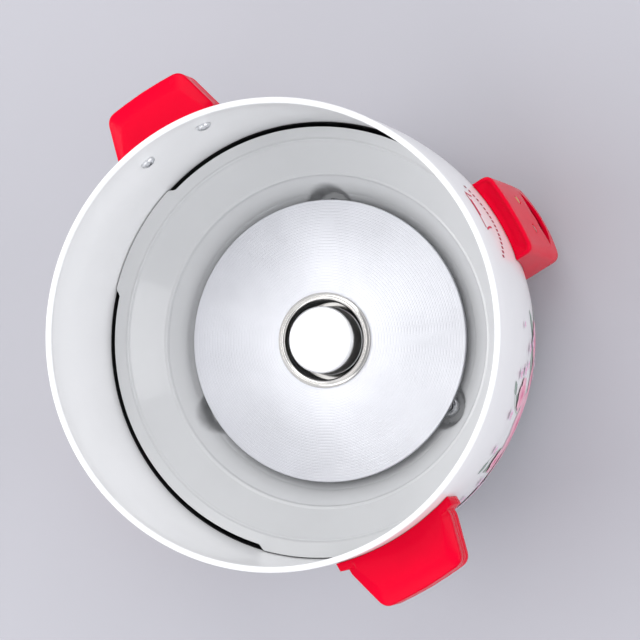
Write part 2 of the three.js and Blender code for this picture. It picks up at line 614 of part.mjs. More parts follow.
function handles() {
  for (const [side, middle] of [['right', 90], ['left', 270]]) {
    const screwHoles = [-1, 1].map((sign) =>
      radialHole(90 + sign * HANDLE_SCREW_ANGLE, HANDLE_SCREW_Z, 2, 120, 149));
    const upper = cut(handleHalf(HANDLE_SEAM_Z + CLEARANCE / 2, HANDLE_TOP_Z, HANDLE_SEAM_Z - 1,
      HANDLE_TOP_Z - 3), ...screwHoles);
    const lower = handleHalf(HANDLE_BOTTOM_Z, HANDLE_SEAM_Z - CLEARANCE / 2, HANDLE_BOTTOM_Z + 2.5,
      HANDLE_SEAM_Z + 1);
    for (const [name, half] of [['upper', upper], ['lower', lower]]) {
      add(`handle_${side}_${name}`, half, 'red_plastic').rotation.z = rad(middle - 90);
    }
    [-1, 1].forEach((sign, i) => {
      const degrees = middle + sign * HANDLE_SCREW_ANGLE;
      const seat = shellRadius(HANDLE_SCREW_Z) - SHEET - CLEARANCE - 0.25;
      const screw = add(`handle_${side}_screw_${i + 1}`, panScrew(4.6, 2.6, 1.7, 14), 'zinc_steel');
      screw.position.copy(around(seat, degrees, HANDLE_SCREW_Z));
      screw.quaternion.setFromUnitVectors(new THREE.Vector3(0, 0, -1), around(1, degrees));
    });
  }
}

// ---------------------------------------------------------------- base plate and feet
function basePlate() {
  let plate = disc(BASE_RADIUS, BASE_BOTTOM_Z, BASE_TOP_Z, SHELL_SEGMENTS);
  for (const degrees of POST_ANGLES) {
    const { x, y } = around(POST_CIRCLE, degrees);
    plate = cut(plate, disc(2.1, 10, 20, 12).translate([x, y, 0]));
  }
  for (const degrees of FOOT_ANGLES) {
    const { x, y } = around(FOOT_CIRCLE, degrees);
    plate = cut(plate, disc(3.4, 10, 20, 12).translate([x, y, 0]));
  }
  const slots = 10;
  for (let i = 0; i < slots; i += 1) {
    const slot = block(-1.5, 1.5, 38, 62, 10, 20).rotate([0, 0, (360 * (i + 0.5)) / slots]);
    plate = cut(plate, slot);
  }
  return plate;
}

function base() {
  add('base_plate', basePlate(), 'black_plastic');
  FOOT_ANGLES.forEach((degrees, i) => {
    const foot = turned([
      [0, 2.5], [5, 2.5], [5, 0], [9, 0], [10, 1], [11.5, 11], [11.5, BASE_BOTTOM_Z - CLEARANCE],
      [3, BASE_BOTTOM_Z - CLEARANCE], [3, BASE_TOP_Z], [0, BASE_TOP_Z],
    ], 14);
    add(`foot_${i + 1}`, foot, 'foot_rubber').position.copy(around(FOOT_CIRCLE, degrees));
  });
}

// ---------------------------------------------------------------- power inlet
function inletHousing() {
  const half = INLET_HALF_WIDTH;
  const low = 26;
  const high = 68;
  const corner = 5;
  const outline = [
    [-half + corner, low], [half - corner, low], [half, low + corner], [half, high - corner],
    [half - corner, high], [corner - half, high], [-half, high - corner], [-half, low + corner],
  ];
  const face = prismAlongY(outline, 100, INLET_FRONT_Y);
  const slope = prismAlongX(
    [[INLET_FRONT_Y + 1, 55], [INLET_FRONT_Y - 8, high + 1], [INLET_FRONT_Y + 1, high + 1]], 30);
  const pocket = block(-half + 2.4, half - 2.4, 100, INLET_FLOOR_Y - 2, low + 2.4, high - 3.6);
  const socket = block(-INLET_SOCKET[0], INLET_SOCKET[0], INLET_FLOOR_Y, 160,
    INLET_Z - INLET_SOCKET[1], INLET_Z + INLET_SOCKET[1]);
  const core = block(-14, 14, 110, INLET_FLOOR_Y + 1, INLET_Z - 11, INLET_Z + 11);
  const bosses = [-1, 1].map((side) => bar(inletScrewPoint(side, 112), inletScrewPoint(side, 137), 3.4));
  const rim = cut(join(cut(face, slope, pocket), ...bosses), shellEnvelope(CLEARANCE));
  const pins = inletPins().map(([, x, z, height]) =>
    block(x - 1.3, x + 1.3, 100, 150, z - height / 2 - 0.3, z + height / 2 + 0.3));
  const screwHoles = [-1, 1].map((side) =>
    bar(inletScrewPoint(side, 105), inletScrewPoint(side, 135), 1.8, 12));
  return cut(join(rim, core), socket, ...pins, ...screwHoles);
}

const inletPins = () => [['live', -7, 44, 4], ['neutral', 7, 44, 4], ['earth', 0, 48.5, 4]];

function powerInlet() {
  add('inlet_housing', inletHousing(), 'red_plastic');
  for (const [name, x, z, height] of inletPins()) {
    const pin = block(x - 1, x + 1, 106, INLET_FRONT_Y - 3, z - height / 2, z + height / 2);
    add(`inlet_pin_${name}`, pin, 'brass');
  }
  for (const [side, name] of [[-1, 'inlet_screw_left'], [1, 'inlet_screw_right']]) {
    const screw = add(name, panScrew(3.2, 2, 1.5, 10), 'zinc_steel');
    screw.position.copy(inletScrewPoint(side, shellRadius(INLET_Z + 15) - 3.2));
    screw.rotation.x = Math.PI / 2;
  }
}

// ---------------------------------------------------------------- element terminals, sensors, leads
function electricalParts() {
  ['left', 'right'].forEach((side, i) => {
    const { x, y } = around(ELEMENT_RING_RADIUS, TERMINAL_ANGLES[1 - i]);
    const terminal = join(disc(2, 43, 54.7, 12), disc(3.2, 50.8, 53.2, 12));
    add(`element_terminal_${side}`, terminal, 'brass').position.set(x, y, 0);
  });
  add('warm_thermostat', disc(8, 52, PLATE_BOTTOM_Z - CLEARANCE, 20), 'zinc_steel').position.set(-38, -12, 0);
  const fuse = ring(3.6, 2, 0, 22, 12).rotate([90, 0, 0]);
  add('thermal_fuse', fuse, 'lead_insulation').position.set(-45, 84, 30);
}

function lead(name, points) {
  const curve = new THREE.CatmullRomCurve3(points.map((point) => new THREE.Vector3(...point)));
  add(name, wire(curve, 1.2, 5, 22), 'lead_insulation');
}

function leads() {
  const left = around(ELEMENT_RING_RADIUS, TERMINAL_ANGLES[1]);
  const right = around(ELEMENT_RING_RADIUS, TERMINAL_ANGLES[0]);
  lead('lead_live', [[-7, 105.6, 44], [-9, 99, 42], [-30, 96, 32], [-45, 88, 30], [-45, 79, 30],
    [-45, 68, 30], [-45, 58, 30], [-50, 20, 30], [-38, -22, 30], [-14, -37, 36], [-2.4, -44, 38],
    [-1.7, -51.6, 38]]);
  lead('lead_switch', [[right.x, right.y, 42.6], [right.x + 1, right.y - 1, 35], [30, 38, 30], [28, 0, 32],
    [18, -32, 37], [3, -42, 38], [1.7, -51.6, 38]]);
  lead('lead_neutral', [[7, 105.6, 44], [9, 99, 42], [13, 90, 34], [12, 76, 31], [0, 66, 31],
    [left.x + 2, left.y + 2, 34], [left.x, left.y, 42.6]]);
  lead('lead_earth', [[0, 105.6, 48.5], [0, 101, 48], [0, 97, 42], [0, 92, 38], [0, 87.4, 38]]);
}

// ---------------------------------------------------------------- build
add('outer_shell', outerShell(), 'white_paint');
add('heat_shield_dish', heatShieldDish(), 'dish_paint');
add('heating_plate', heatingPlate(), 'plate_aluminium');
plateFixings();
limiter();
leverAssembly();
controlFront();
handles();
base();
powerInlet();
electricalParts();
leads();

export default cooker;
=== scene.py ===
import json
import random
from math import asin, cos, degrees as to_degrees, hypot, pi, radians, sin, tan

import bmesh
import bpy
from mathutils import Matrix, Vector


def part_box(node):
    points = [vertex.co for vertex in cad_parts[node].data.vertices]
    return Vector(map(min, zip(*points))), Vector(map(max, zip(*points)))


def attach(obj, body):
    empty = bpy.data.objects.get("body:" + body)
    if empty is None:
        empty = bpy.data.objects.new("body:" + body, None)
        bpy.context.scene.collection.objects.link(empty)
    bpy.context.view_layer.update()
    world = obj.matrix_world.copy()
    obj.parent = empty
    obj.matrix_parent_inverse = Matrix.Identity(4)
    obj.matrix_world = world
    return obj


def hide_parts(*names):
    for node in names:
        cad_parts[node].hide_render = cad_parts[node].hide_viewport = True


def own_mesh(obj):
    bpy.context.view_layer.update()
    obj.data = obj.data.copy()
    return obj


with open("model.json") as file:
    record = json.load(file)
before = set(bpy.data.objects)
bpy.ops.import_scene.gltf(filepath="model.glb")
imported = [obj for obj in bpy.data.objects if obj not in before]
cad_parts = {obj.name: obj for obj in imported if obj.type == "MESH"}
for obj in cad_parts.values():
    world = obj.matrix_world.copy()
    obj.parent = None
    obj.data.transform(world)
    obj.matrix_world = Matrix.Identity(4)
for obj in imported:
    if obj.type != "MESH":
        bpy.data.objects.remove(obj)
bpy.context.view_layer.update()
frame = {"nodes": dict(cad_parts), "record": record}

# Lengths below are in millimetres and angles in degrees. An angle round the cooker counts from the
# front (-Y) towards +X.
MM = 0.001
ROOT = "cooker_body"


def low(node):
    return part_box(node)[0] / MM


def high(node):
    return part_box(node)[1] / MM


def middle_of(node):
    return (low(node) + high(node)) / 2


# ---- driving dimensions
SEGMENTS = 160  # sides of the larger round pieces
GAP = 0.3       # clearance where two pieces meet

RIM_Z = high("outer_shell").z
RIM_RADIUS = high("outer_shell").x
BEAD_RADIUS = 1.8
SHEET = 0.8
SHELL_BOTTOM_Z = low("outer_shell").z
SHELL_FLANGE_INNER = 100
# radius of the shell's outside at chosen heights, from under the rim to the bottom bend
SHELL_PROFILE = [
    (133.0, 186.2), (134.2, 172), (134.8, 148), (134.4, 120), (132.4, 92),
    (128.4, 65), (123.2, 40), (118.6, 27), (113.5, 19.5),
]
# openings through the wall: x, y and z ranges
LEVER_OPENING = (-14, 14, -140, -100, 24, 54)
INLET_OPENING = (-15, 15, 100, 140, 34.5, 57.5)

DISH_TAB_RADIUS = -low("heat_shield_dish").y
DISH_EDGE_RADIUS = DISH_TAB_RADIUS - 2.8
DISH_EDGE_Z = high("heat_shield_dish").z
DISH_SHEET = 1.1
DISH_HEM_DEPTH = 3.5
DISH_HEM_DRAWN_IN = 0.006  # share of the radius
# radius, height and bend radius, from the centre hole to the last fold inside the edge
DISH_PROFILE = [
    (34, 50, 0), (60, 50, 1), (62, 50.8, 1), (70, 50.8, 1), (72, 50, 1), (78, 50.4, 3), (85.5, 56, 2.5),
    (91, 59.4, 2.5), (100.2, 70.9, 0.6), (101, 73, 1.4), (102.6, 73.5, 0.8), (119.6, 88.5, 0.6),
    (120.6, 90.2, 1.2), (122, 90.0, 0.6),
]
DIMPLE_RADIUS = 13
DIMPLE_FLOOR_Z = 46
DIMPLE_CIRCLE = 81.5
DIMPLE_ANGLES = (60, 180, 300)
TAB_ANGLES = (0, 120, 240)
TAB_HALF_ANGLE = 15.5
# top of the dark band that paints the shade in the gaps beside the dish
SHADE_BAND_TOP_Z = 90

PLATE_RADIUS = 86.4
PLATE_EDGE_Z = 65
PLATE_CROWN_Z = high("heating_plate").z
PLATE_BOTTOM_Z = 60.8
PLATE_EDGE_ROUND = 0.8
PLATE_RING_PITCH = 1.8
SLEEVE_LIP_RADIUS = high("limiter_sleeve").x
SLEEVE_BORE_RADIUS = 24.4
SLEEVE_BOTTOM_Z = low("limiter_sleeve").z
CAP_RADIUS = 20.4
CAP_TOP_Z = high("limiter_cap").z
CAP_BOTTOM_Z = low("limiter_cap").z

SLOT_Z = 41
SLOT_HALF_WIDTH = 19.2
SLOT_HALF_HEIGHT = 12
LAMP_X = 10
LAMP_Z = 70
LAMP_HOLE_RADIUS = 3.1
PADDLE_Z = 42.2
PADDLE_HALF_WIDTH = 10
PADDLE_RECESS = 2.2
HOUSING_BACK_Y = -100
# control housing plan at chosen heights: height, half width, corner y, middle y
HOUSING_PLAN = [
    (22, 26.6, -142.2, -145.6), (45, 26.6, -142.6, -146), (75, 26.4, -142.8, -145.4),
    (105, 26.2, -142.8, -144.4),
]

HANDLE_REACH = high("handle_right_upper").x
HANDLE_SEAM_Z = 150
HANDLE_TOP_Z = high("handle_right_upper").z
HANDLE_BOTTOM_Z = low("handle_right_lower").z
HANDLE_ROOT_X = 116
HANDLE_ROOT_HALF_WIDTH = 33.5
HANDLE_TIP_HALF_WIDTH = 26.2
HANDLE_PAD_RADIUS = 139.6
HANDLE_PAD_HALF_WIDTH = 38
HANDLE_SCREW_Z = 154
HANDLE_SCREW_ANGLE = 8.6

VENT_SLOTS = 10
FOOT_CIRCLE = 93
FOOT_ANGLES = (45, 135, 225, 315)


# ---- shape helpers
def around(radius, degrees, z=0.0):
    """Point at a radius and an angle counted from the front towards +X."""
    angle = radians(degrees)
    return Vector((radius * sin(angle), -radius * cos(angle), z))


def smooth_step(low_end, high_end, value):
    share = min(1.0, max(0.0, (value - low_end) / (high_end - low_end)))
    return share * share * (3 - 2 * share)


def through(points, value, axis):
    """The smooth curve through a list of tuples, read where its coordinate on one axis is value."""
    ordered = sorted(points, key=lambda point: point[axis])
    value = min(ordered[-1][axis], max(ordered[0][axis], value))
    last = len(ordered) - 2
    i = max(k for k in range(last + 1) if k == 0 or ordered[k][axis] <= value)
    before, start, end, after = (ordered[max(0, min(last + 1, k))] for k in (i - 1, i, i + 1, i + 2))
    t = (value - start[axis]) / (end[axis] - start[axis])

    def blend(p, a, b, n):
        slope_a = (b - p) / 2
        slope_b = (n - a) / 2
        return (a * (2 * t**3 - 3 * t**2 + 1) + slope_a * (t**3 - 2 * t**2 + t)
                + b * (3 * t**2 - 2 * t**3) + slope_b * (t**3 - t**2))

    return [blend(*four) for four in zip(before, start, end, after)]


def shell_radius(z):
    return through(SHELL_PROFILE, z, 1)[0]


def rounded(corners, closed=False, steps=5):
    """A line through corners (x, y, radius), each turned into an arc of about that radius."""
    count = len(corners)
    line = []
    for i, (x, y, radius) in enumerate(corners):
        corner = Vector((x, y))
        if radius == 0 or (not closed and i in (0, count - 1)):
            line.append((x, y))
            continue
        arms = [Vector(corners[k][:2]) - corner for k in (i - 1, (i + 1) % count)]
        half_angle = arms[0].angle(arms[1]) / 2
        reach = min(radius / max(0.05, tan(half_angle)), *(0.48 * arm.length for arm in arms))
        start, end = (corner + arm.normalized() * reach for arm in arms)
        for step in range(steps + 1):
            t = step / steps
            point = start * (1 - t) ** 2 + corner * (2 * t * (1 - t)) + end * t * t
            line.append((point.x, point.y))
    return line


def linked(name, data):
    """A new object in the scene."""
    thing = bpy.data.objects.new(name, data)
    bpy.context.scene.collection.objects.link(thing)
    return thing


def solid(name, points, faces):
    """An object from points in millimetres, with its faces turned outwards."""
    mesh = bpy.data.meshes.new(name)
    mesh.from_pydata([[c * MM for c in point] for point in points], [], faces)
    work = bmesh.new()
    work.from_mesh(mesh)
    bmesh.ops.remove_doubles(work, verts=work.verts, dist=1e-7)
    bmesh.ops.recalc_face_normals(work, faces=work.faces)
    work.to_mesh(mesh)
    work.free()
    return linked(name, mesh)


def turned(name, profile, segments=SEGMENTS, closed=False):
    """Solid of revolution about Z. A profile that isn't closed starts and ends on the axis."""
    points = []
    rows = []
    for radius, z in profile:
        if abs(radius) < 1e-6:
            rows.append([len(points)] * segments)
            points.append((0, 0, z))
        else:
            rows.append(list(range(len(points), len(points) + segments)))
            points += [around(radius, 360 * k / segments, z) for k in range(segments)]
    pairs = list(zip(rows, rows[1:])) + ([(rows[-1], rows[0])] if closed else [])
    faces = []
    for lower, upper in pairs:
        for k in range(segments):
            n = (k + 1) % segments
            corners = [lower[k], lower[n], upper[n], upper[k]]
            faces.append([c for i, c in enumerate(corners) if c not in corners[:i]])
    return solid(name, points, [face for face in faces if len(face) > 2])


def lofted(name, loops):
    """Solid through closed loops of points, all of one length, with flat ends."""
    count = len(loops[0])
    points = [point for loop in loops for point in loop]
    faces = [list(range(count)), [len(points) - 1 - k for k in range(count)]]
    for level in range(len(loops) - 1):
        for k in range(count):
            n = (k + 1) % count
            a, b = level * count + k, level * count + n
            faces.append([a, b, b + count, a + count])
    return solid(name, points, faces)


def box(name, x_low, x_high, y_low, y_high, z_low, z_high):
    outline = [(x_low, y_low), (x_high, y_low), (x_high, y_high), (x_low, y_high)]
    return lofted(name, [[(x, y, z) for x, y in outline] for z in (z_low, z_high)])


def placed(thing, matrix):
    thing.data.transform(matrix)
    return thing


def facing(direction, point):
    """The matrix that turns +Z to a direction and moves the origin to a point in millimetres."""
    turn = Vector((0, 0, 1)).rotation_difference(Vector(direction)).to_matrix().to_4x4()
    return Matrix.Translation(Vector(point) * MM) @ turn


def applied(thing):
    """Bakes a thing's modifiers into its mesh."""
    evaluated = thing.evaluated_get(bpy.context.evaluated_depsgraph_get())
    mesh = bpy.data.meshes.new_from_object(evaluated)
    thing.modifiers.clear()
    thing.data = mesh
    return thing


def combined(thing, operation, tools):
    for tool in tools:
        modifier = thing.modifiers.new("combine", "BOOLEAN")
        modifier.operation = operation
        modifier.solver = "EXACT"
        modifier.object = tool
        applied(thing)
        bpy.data.objects.remove(tool)
    return thing


def cut(thing, *tools):
    return combined(thing, "DIFFERENCE", tools)


def joined(thing, *others):
    return combined(thing, "UNION", others)


def soften(thing, width, angle, segments):
    """Rounds the edges that are sharper than an angle, with a modifier."""
    modifier = thing.modifiers.new("eased", "BEVEL")
    modifier.width = width * MM
    modifier.segments = segments
    modifier.limit_method = "ANGLE"
    modifier.angle_limit = radians(angle)


def eased(thing, width, angle, segments=3):
    soften(thing, width, angle, segments)
    return applied(thing)


def merged(name, things):
    """One mesh of several separate solids."""
    work = bmesh.new()
    for thing in things:
        work.from_mesh(thing.data)
        bpy.data.objects.remove(thing)
    mesh = bpy.data.meshes.new(name)
    work.to_mesh(mesh)
    work.free()
    return linked(name, mesh)


def shade(mesh, sharp_angle=38):
    mesh.polygons.foreach_set("use_smooth", [True] * len(mesh.polygons))
    mesh.set_sharp_from_angle(angle=radians(sharp_angle))


def show(thing, slot, *nodes, body=ROOT, sharp_angle=38, finish=None):
    """Gives a finished piece its smooth shading, material and body, and hides the CAD nodes it stands
    for.
    """
    shade(thing.data, sharp_angle)
    thing.data.materials.clear()
    thing.data.materials.append(finish or FINISHES[slot])
    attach(thing, body)
    if nodes:
        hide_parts(*nodes)


# ---- camera
CAMERA_AZIMUTH = -38.6
CAMERA_ELEVATION = 73.67
CAMERA_ROLL = -82.49
CAMERA_DISTANCE = 1528.2        # from the centre of the rim
FIELD_HALF_TANGENT = 0.11852    # half the picture's width over the distance
RIM_OFFSET = (-0.0197, -0.0052)  # where the rim's centre stands off the view axis, as tangents


def make_camera():
    azimuth, elevation = radians(CAMERA_AZIMUTH), radians(CAMERA_ELEVATION)
    back = Vector((
        sin(azimuth) * cos(elevation),
        -cos(azimuth) * cos(elevation),
        sin(elevation),
    ))
    level = Vector((cos(azimuth), sin(azimuth), 0))
    roll = Matrix.Rotation(radians(CAMERA_ROLL), 3, back)
    right = roll @ level
    up = back.cross(right)
    to_rim = (right * RIM_OFFSET[0] + up * RIM_OFFSET[1] - back).normalized() * CAMERA_DISTANCE
    data = bpy.data.cameras.new("camera")
    data.sensor_width = 36
    data.lens = data.sensor_width / 2 / FIELD_HALF_TANGENT
    data.clip_end = 100
    camera = linked("camera", data)
    turn = Matrix((right, up, back)).transposed().to_4x4()
    camera.matrix_world = Matrix.Translation((Vector((0, 0, RIM_Z)) - to_rim) * MM) @ turn
    bpy.context.scene.camera = camera


# ---- material helpers
NOISE_RANGE = (0.3, 0.7)  # where most of a noise texture's values lie


def tinted(colour, factor):
    return tuple(min(1.0, c * factor) for c in colour)


class Finish:
    """A Principled material, with the procedural nodes that vary it. Texture scales are per metre."""

    def __init__(self, name, colour, roughness, metallic=0.0, **sockets):
        self.material = bpy.data.materials.new(name)
        self.material.use_nodes = True
        self.tree = self.material.node_tree
        self.shader = self.tree.nodes["Principled BSDF"]
        self.shader.inputs["Base Color"].default_value = (*colour, 1)
        self.shader.inputs["Roughness"].default_value = roughness
        self.shader.inputs["Metallic"].default_value = metallic
        for key, value in sockets.items():
            socket = key.replace("_", " ").title().replace("Ior", "IOR")
            self.shader.inputs[socket].default_value = value
        self.place = self.node("ShaderNodeTexCoord").outputs["Object"]
        self.normal = None

    def node(self, kind, inputs=(), **settings):
        made = self.tree.nodes.new(kind)
        for key, value in settings.items():
            setattr(made, key, value)
        for key, value in dict(inputs).items():
            if isinstance(value, bpy.types.NodeSocket):
                self.tree.links.new(value, made.inputs[key])
            else:
                made.inputs[key].default_value = value
        return made

    def stretched(self, x, y, z):
        made = self.node("ShaderNodeMapping", {"Vector": self.place, "Scale": (x, y, z)})
        return made.outputs["Vector"]

    def noise(self, scale, detail=3.0, place=None, distortion=0.0):
        return self.node("ShaderNodeTexNoise", {
            "Vector": place or self.place, "Scale": scale, "Detail": detail, "Distortion": distortion,
        }).outputs["Fac"]

    def rings(self, pitch, distortion=0.0):
        """Rings about the Z axis, a pitch in millimetres apart."""
        scale = 2 * pi / 20 / (pitch * MM)
        return self.node("ShaderNodeTexWave", {
            "Vector": self.place, "Scale": scale, "Distortion": distortion, "Detail": 1.0,
            "Detail Scale": 0.5,
        }, wave_type="RINGS", rings_direction="Z").outputs["Fac"]

    def paint(self, value, colour, factors):
        """Shades of a colour by a ramp; factors gives the brightness at each place on the ramp."""
        ramp = self.node("ShaderNodeValToRGB", {"Fac": value})
        marks = ramp.color_ramp.elements
        for i, (place, factor) in enumerate(factors.items()):
            mark = marks[i] if i < 2 else marks.new(place)
            mark.position = place
            mark.color = (*tinted(colour, factor), 1)
        self.tree.links.new(ramp.outputs["Color"], self.shader.inputs["Base Color"])

    def rough(self, noise, to_low, to_high):
        made = self.node("ShaderNodeMapRange", {
            "Value": noise, "From Min": NOISE_RANGE[0], "From Max": NOISE_RANGE[1],
            "To Min": to_low, "To Max": to_high,
        })
        self.tree.links.new(made.outputs["Result"], self.shader.inputs["Roughness"])

    def bump(self, height, depth):
        """Raises the surface by a height field, depth in millimetres."""
        made = self.node("ShaderNodeBump", {"Height": height, "Distance": depth * MM})
        if self.normal:
            self.tree.links.new(self.normal, made.inputs["Normal"])
        self.normal = made.outputs["Normal"]
        self.tree.links.new(self.normal, self.shader.inputs["Normal"])


def enamel(name, colour, roughness, peel, coat):
    """Baked paint: faint clouding, orange peel and slow changes of gloss."""
    made = Finish(name, colour, roughness, coat_weight=coat, coat_roughness=0.08)
    made.paint(made.noise(22, 4), colour, {0.3: 0.975, 0.5: 1.0, 0.72: 1.015})
    made.rough(made.noise(16, 3), roughness - 0.02, roughness + 0.05)
    made.bump(made.noise(420, 2), peel)
    made.bump(made.noise(2600, 3), peel * 0.12)
    return made.material


def turned_metal(name, colour, roughness, pitch, depth, anisotropic):
    """Lathe-turned metal: fine rings about the axis, tool chatter and faint heat clouding."""
    made = Finish(name, colour, roughness, 1.0, anisotropic=anisotropic)
    tangent = made.node("ShaderNodeTangent", direction_type="RADIAL", axis="Z")
    made.tree.links.new(tangent.outputs["Tangent"], made.shader.inputs["Tangent"])
    made.paint(made.noise(14, 4, distortion=0.5), colour, {0.32: 0.93, 0.52: 1.0, 0.7: 1.04})
    made.rough(made.noise(35, 5), roughness - 0.05, roughness + 0.07)
    made.bump(made.rings(pitch, 0.4), depth)
    made.bump(made.rings(pitch * 0.23, 1.2), depth * 0.4)
    return made.material


def brushed_metal(name, colour, roughness, grain=(1, 1, 0.08)):
    """Plated or drawn steel: streaked grain with small stains and scuffs."""
    made = Finish(name, colour, roughness, 1.0)
    streaks = made.noise(900, 4, made.stretched(*grain))
    made.paint(streaks, colour, {0.3: 0.82, 0.5: 1.0, 0.72: 1.1})
    made.rough(made.noise(120, 5), roughness - 0.08, roughness + 0.14)
    made.bump(streaks, 0.02)
    return made.material


def moulded_plastic(name, colour, roughness, texture, ior=1.45, gloss=0.5):
    """Moulded plastic: soft flow clouding, fine texture and slow changes of gloss."""
    made = Finish(name, colour, roughness, ior=ior, specular_ior_level=gloss)
    made.paint(made.noise(28, 4, distortion=0.8), colour, {0.3: 0.96, 0.52: 1.0, 0.75: 1.04})
    made.rough(made.noise(30, 3), roughness - 0.03, roughness + 0.06)
    made.bump(made.noise(500, 2), texture)
    made.bump(made.noise(3600, 2), texture * 0.15)
    return made.material


def rubber(name, colour):
    """Matt rubber with a little dust."""
    made = Finish(name, colour, 0.8)
    made.paint(made.noise(90, 6), colour, {0.35: 0.8, 0.6: 1.0, 0.85: 1.9})
    made.rough(made.noise(300, 3), 0.7, 0.92)
    made.bump(made.noise(2200, 3), 0.05)
    return made.material


def sintered(name, colour):
    """Grey-black ceramic: dense fine grain with small pale chips."""
    made = Finish(name, colour, 0.6, 0.25)
    made.paint(made.noise(1500, 4), colour, {0.3: 0.75, 0.62: 1.0, 0.8: 3.0})
    made.bump(made.noise(1500, 4), 0.05)
    return made.material


def lamp_plastic(name, colour):
    """Translucent coloured lens with a faint inner haze."""
    made = Finish(name, colour, 0.12, transmission_weight=0.35, coat_weight=0.5, coat_roughness=0.05)
    made.paint(made.noise(160, 3), colour, {0.3: 0.75, 0.5: 1.0, 0.75: 1.25})
    made.bump(made.noise(900, 2), 0.01)
    return made.material


def laminate(name, colour):
    """Printed circuit laminate: a woven base."""
    made = Finish(name, colour, 0.5)
    weave = made.node("ShaderNodeTexBrick", {
        "Vector": made.place, "Scale": 500.0, "Mortar Size": 0.08,
    }).outputs["Fac"]
    made.paint(weave, colour, {0.0: 1.0, 1.0: 0.7})
    made.bump(weave, 0.03)
    return made.material


def sleeving(name, colour):
    """Braided glass-fibre sleeving over a lead."""
    made = Finish(name, colour, 0.7)
    braid, counter = (made.node("ShaderNodeTexWave", {
        "Vector": place, "Scale": 260.0, "Distortion": 0.6, "Detail": 2.0,
    }, bands_direction="DIAGONAL").outputs["Fac"] for place in (made.place, made.stretched(1, -1, 1)))
    weave = made.node("ShaderNodeMath", {0: braid, 1: counter}, operation="MAXIMUM").outputs[0]
    made.paint(weave, colour, {0.1: 0.7, 0.9: 1.0})
    made.bump(weave, 0.12)
    return made.material


def print_ink(name):
    """Fired print: colours come from the mesh, broken up like a screened watercolour."""
    made = Finish(name, (0.8, 0.4, 0.5), 0.4, ior=1.3, specular_ior_level=0.3)
    ink = made.node("ShaderNodeAttribute", attribute_name="ink").outputs["Color"]
    wash = made.node("ShaderNodeValToRGB", {"Fac": made.noise(260, 5, distortion=0.6)})
    wash.color_ramp.elements[0].position = 0.3
    wash.color_ramp.elements[0].color = (0.74, 0.72, 0.76, 1)
    wash.color_ramp.elements[1].position = 0.7
    mix = made.node("ShaderNodeMix", data_type="RGBA", blend_type="MULTIPLY")
    mix.inputs[0].default_value = 0.7
    made.tree.links.new(ink, mix.inputs[6])
    made.tree.links.new(wash.outputs["Color"], mix.inputs[7])
    made.tree.links.new(mix.outputs[2], made.shader.inputs["Base Color"])
    made.bump(made.noise(900, 2), 0.01)
    return made.material


RED = (0.7, 0.0, 0.022)

FINISHES = {name: kind(name, *values) for name, kind, *values in (
    ("shell_paint", enamel, (0.82, 0.82, 0.825), 0.3, 0.004, 0.2),
    ("dish_paint", enamel, (0.56, 0.565, 0.57), 0.36, 0.008, 0.45),
    ("plate_aluminium", turned_metal, (0.82, 0.825, 0.86), 0.48, 0.9, 0.045, 0.6),
    ("cap_aluminium", turned_metal, (0.88, 0.88, 0.89), 0.34, 0.6, 0.008, 0.3),
    ("chrome", turned_metal, (0.72, 0.7, 0.67), 0.13, 2.4, 0.002, 0.2),
    ("red_plastic", moulded_plastic, RED, 0.22, 0.004, 1.33, 0.12),
    ("black_plastic", moulded_plastic, (0.02, 0.02, 0.021), 0.45, 0.06),
    ("foot_rubber", rubber, (0.022, 0.022, 0.022)),
    ("zinc_steel", brushed_metal, (0.78, 0.79, 0.81), 0.26),
    ("spring_steel", brushed_metal, (0.45, 0.45, 0.47), 0.32, (1, 1, 1)),
    ("ferrite", sintered, (0.05, 0.05, 0.055)),
    ("brass", brushed_metal, (0.72, 0.53, 0.22), 0.3, (1, 0.1, 1)),
    ("lamp_red", lamp_plastic, (0.6, 0.03, 0.02)),
    ("lamp_amber", lamp_plastic, (0.8, 0.34, 0.05)),
    ("circuit_board", laminate, (0.3, 0.2, 0.08)),
    ("lead_insulation", sleeving, (0.6, 0.58, 0.52)),
)}
PRINT_INK = print_ink("print_ink")


# ---- shell
def shell_heights(step):
    top, bottom = SHELL_PROFILE[0][1], SHELL_PROFILE[-1][1]
    count = round((top - bottom) / step)
    return [top + (bottom - top) * k / count for k in range(count + 1)]


def shell_envelope(gap):
    """Everything inside the shell's outside, grown by a gap: the tool that fits pieces to the shell."""
    wall = [(shell_radius(z) + gap, z) for z in shell_heights(6)]
    profile = [(0, RIM_Z + 5), (wall[0][0], RIM_Z + 5), *wall, (wall[-1][0], 0), (0, 0)]
    return turned("envelope", profile)


def build_shell():
    outside = [(shell_radius(z), z) for z in shell_heights(4)]
    inside = [(radius - SHEET, z) for radius, z in outside]
    bead = []
    for degrees in range(-60, 226, 15):
        angle = radians(degrees)
        bead.append((RIM_RADIUS - BEAD_RADIUS + BEAD_RADIUS * cos(angle),
                     RIM_Z - BEAD_RADIUS + BEAD_RADIUS * sin(angle)))
    bend, floor = outside[-1][0], SHELL_BOTTOM_Z
    lower = rounded([
        (inside[-1][0], inside[-1][1], 0), (bend - 3, floor + SHEET, 2),
        (SHELL_FLANGE_INNER, floor + SHEET, 0.3), (SHELL_FLANGE_INNER, floor, 0.3),
        (bend - 2.4, floor, 2), (*outside[-1], 0),
    ])
    shell = turned("shell", [*bead, *inside[:-1], *lower, *outside[-2::-1]], 192, closed=True)
    openings = [box("lever_opening", *LEVER_OPENING), box("inlet_opening", *INLET_OPENING)]
    show(cut(shell, *openings), "shell_paint", "outer_shell")


# ---- heat-shield dish
def away_from(degrees, middle):
    """How far an angle is from another, either way round."""
    return abs((degrees - middle + 180) % 360 - 180)


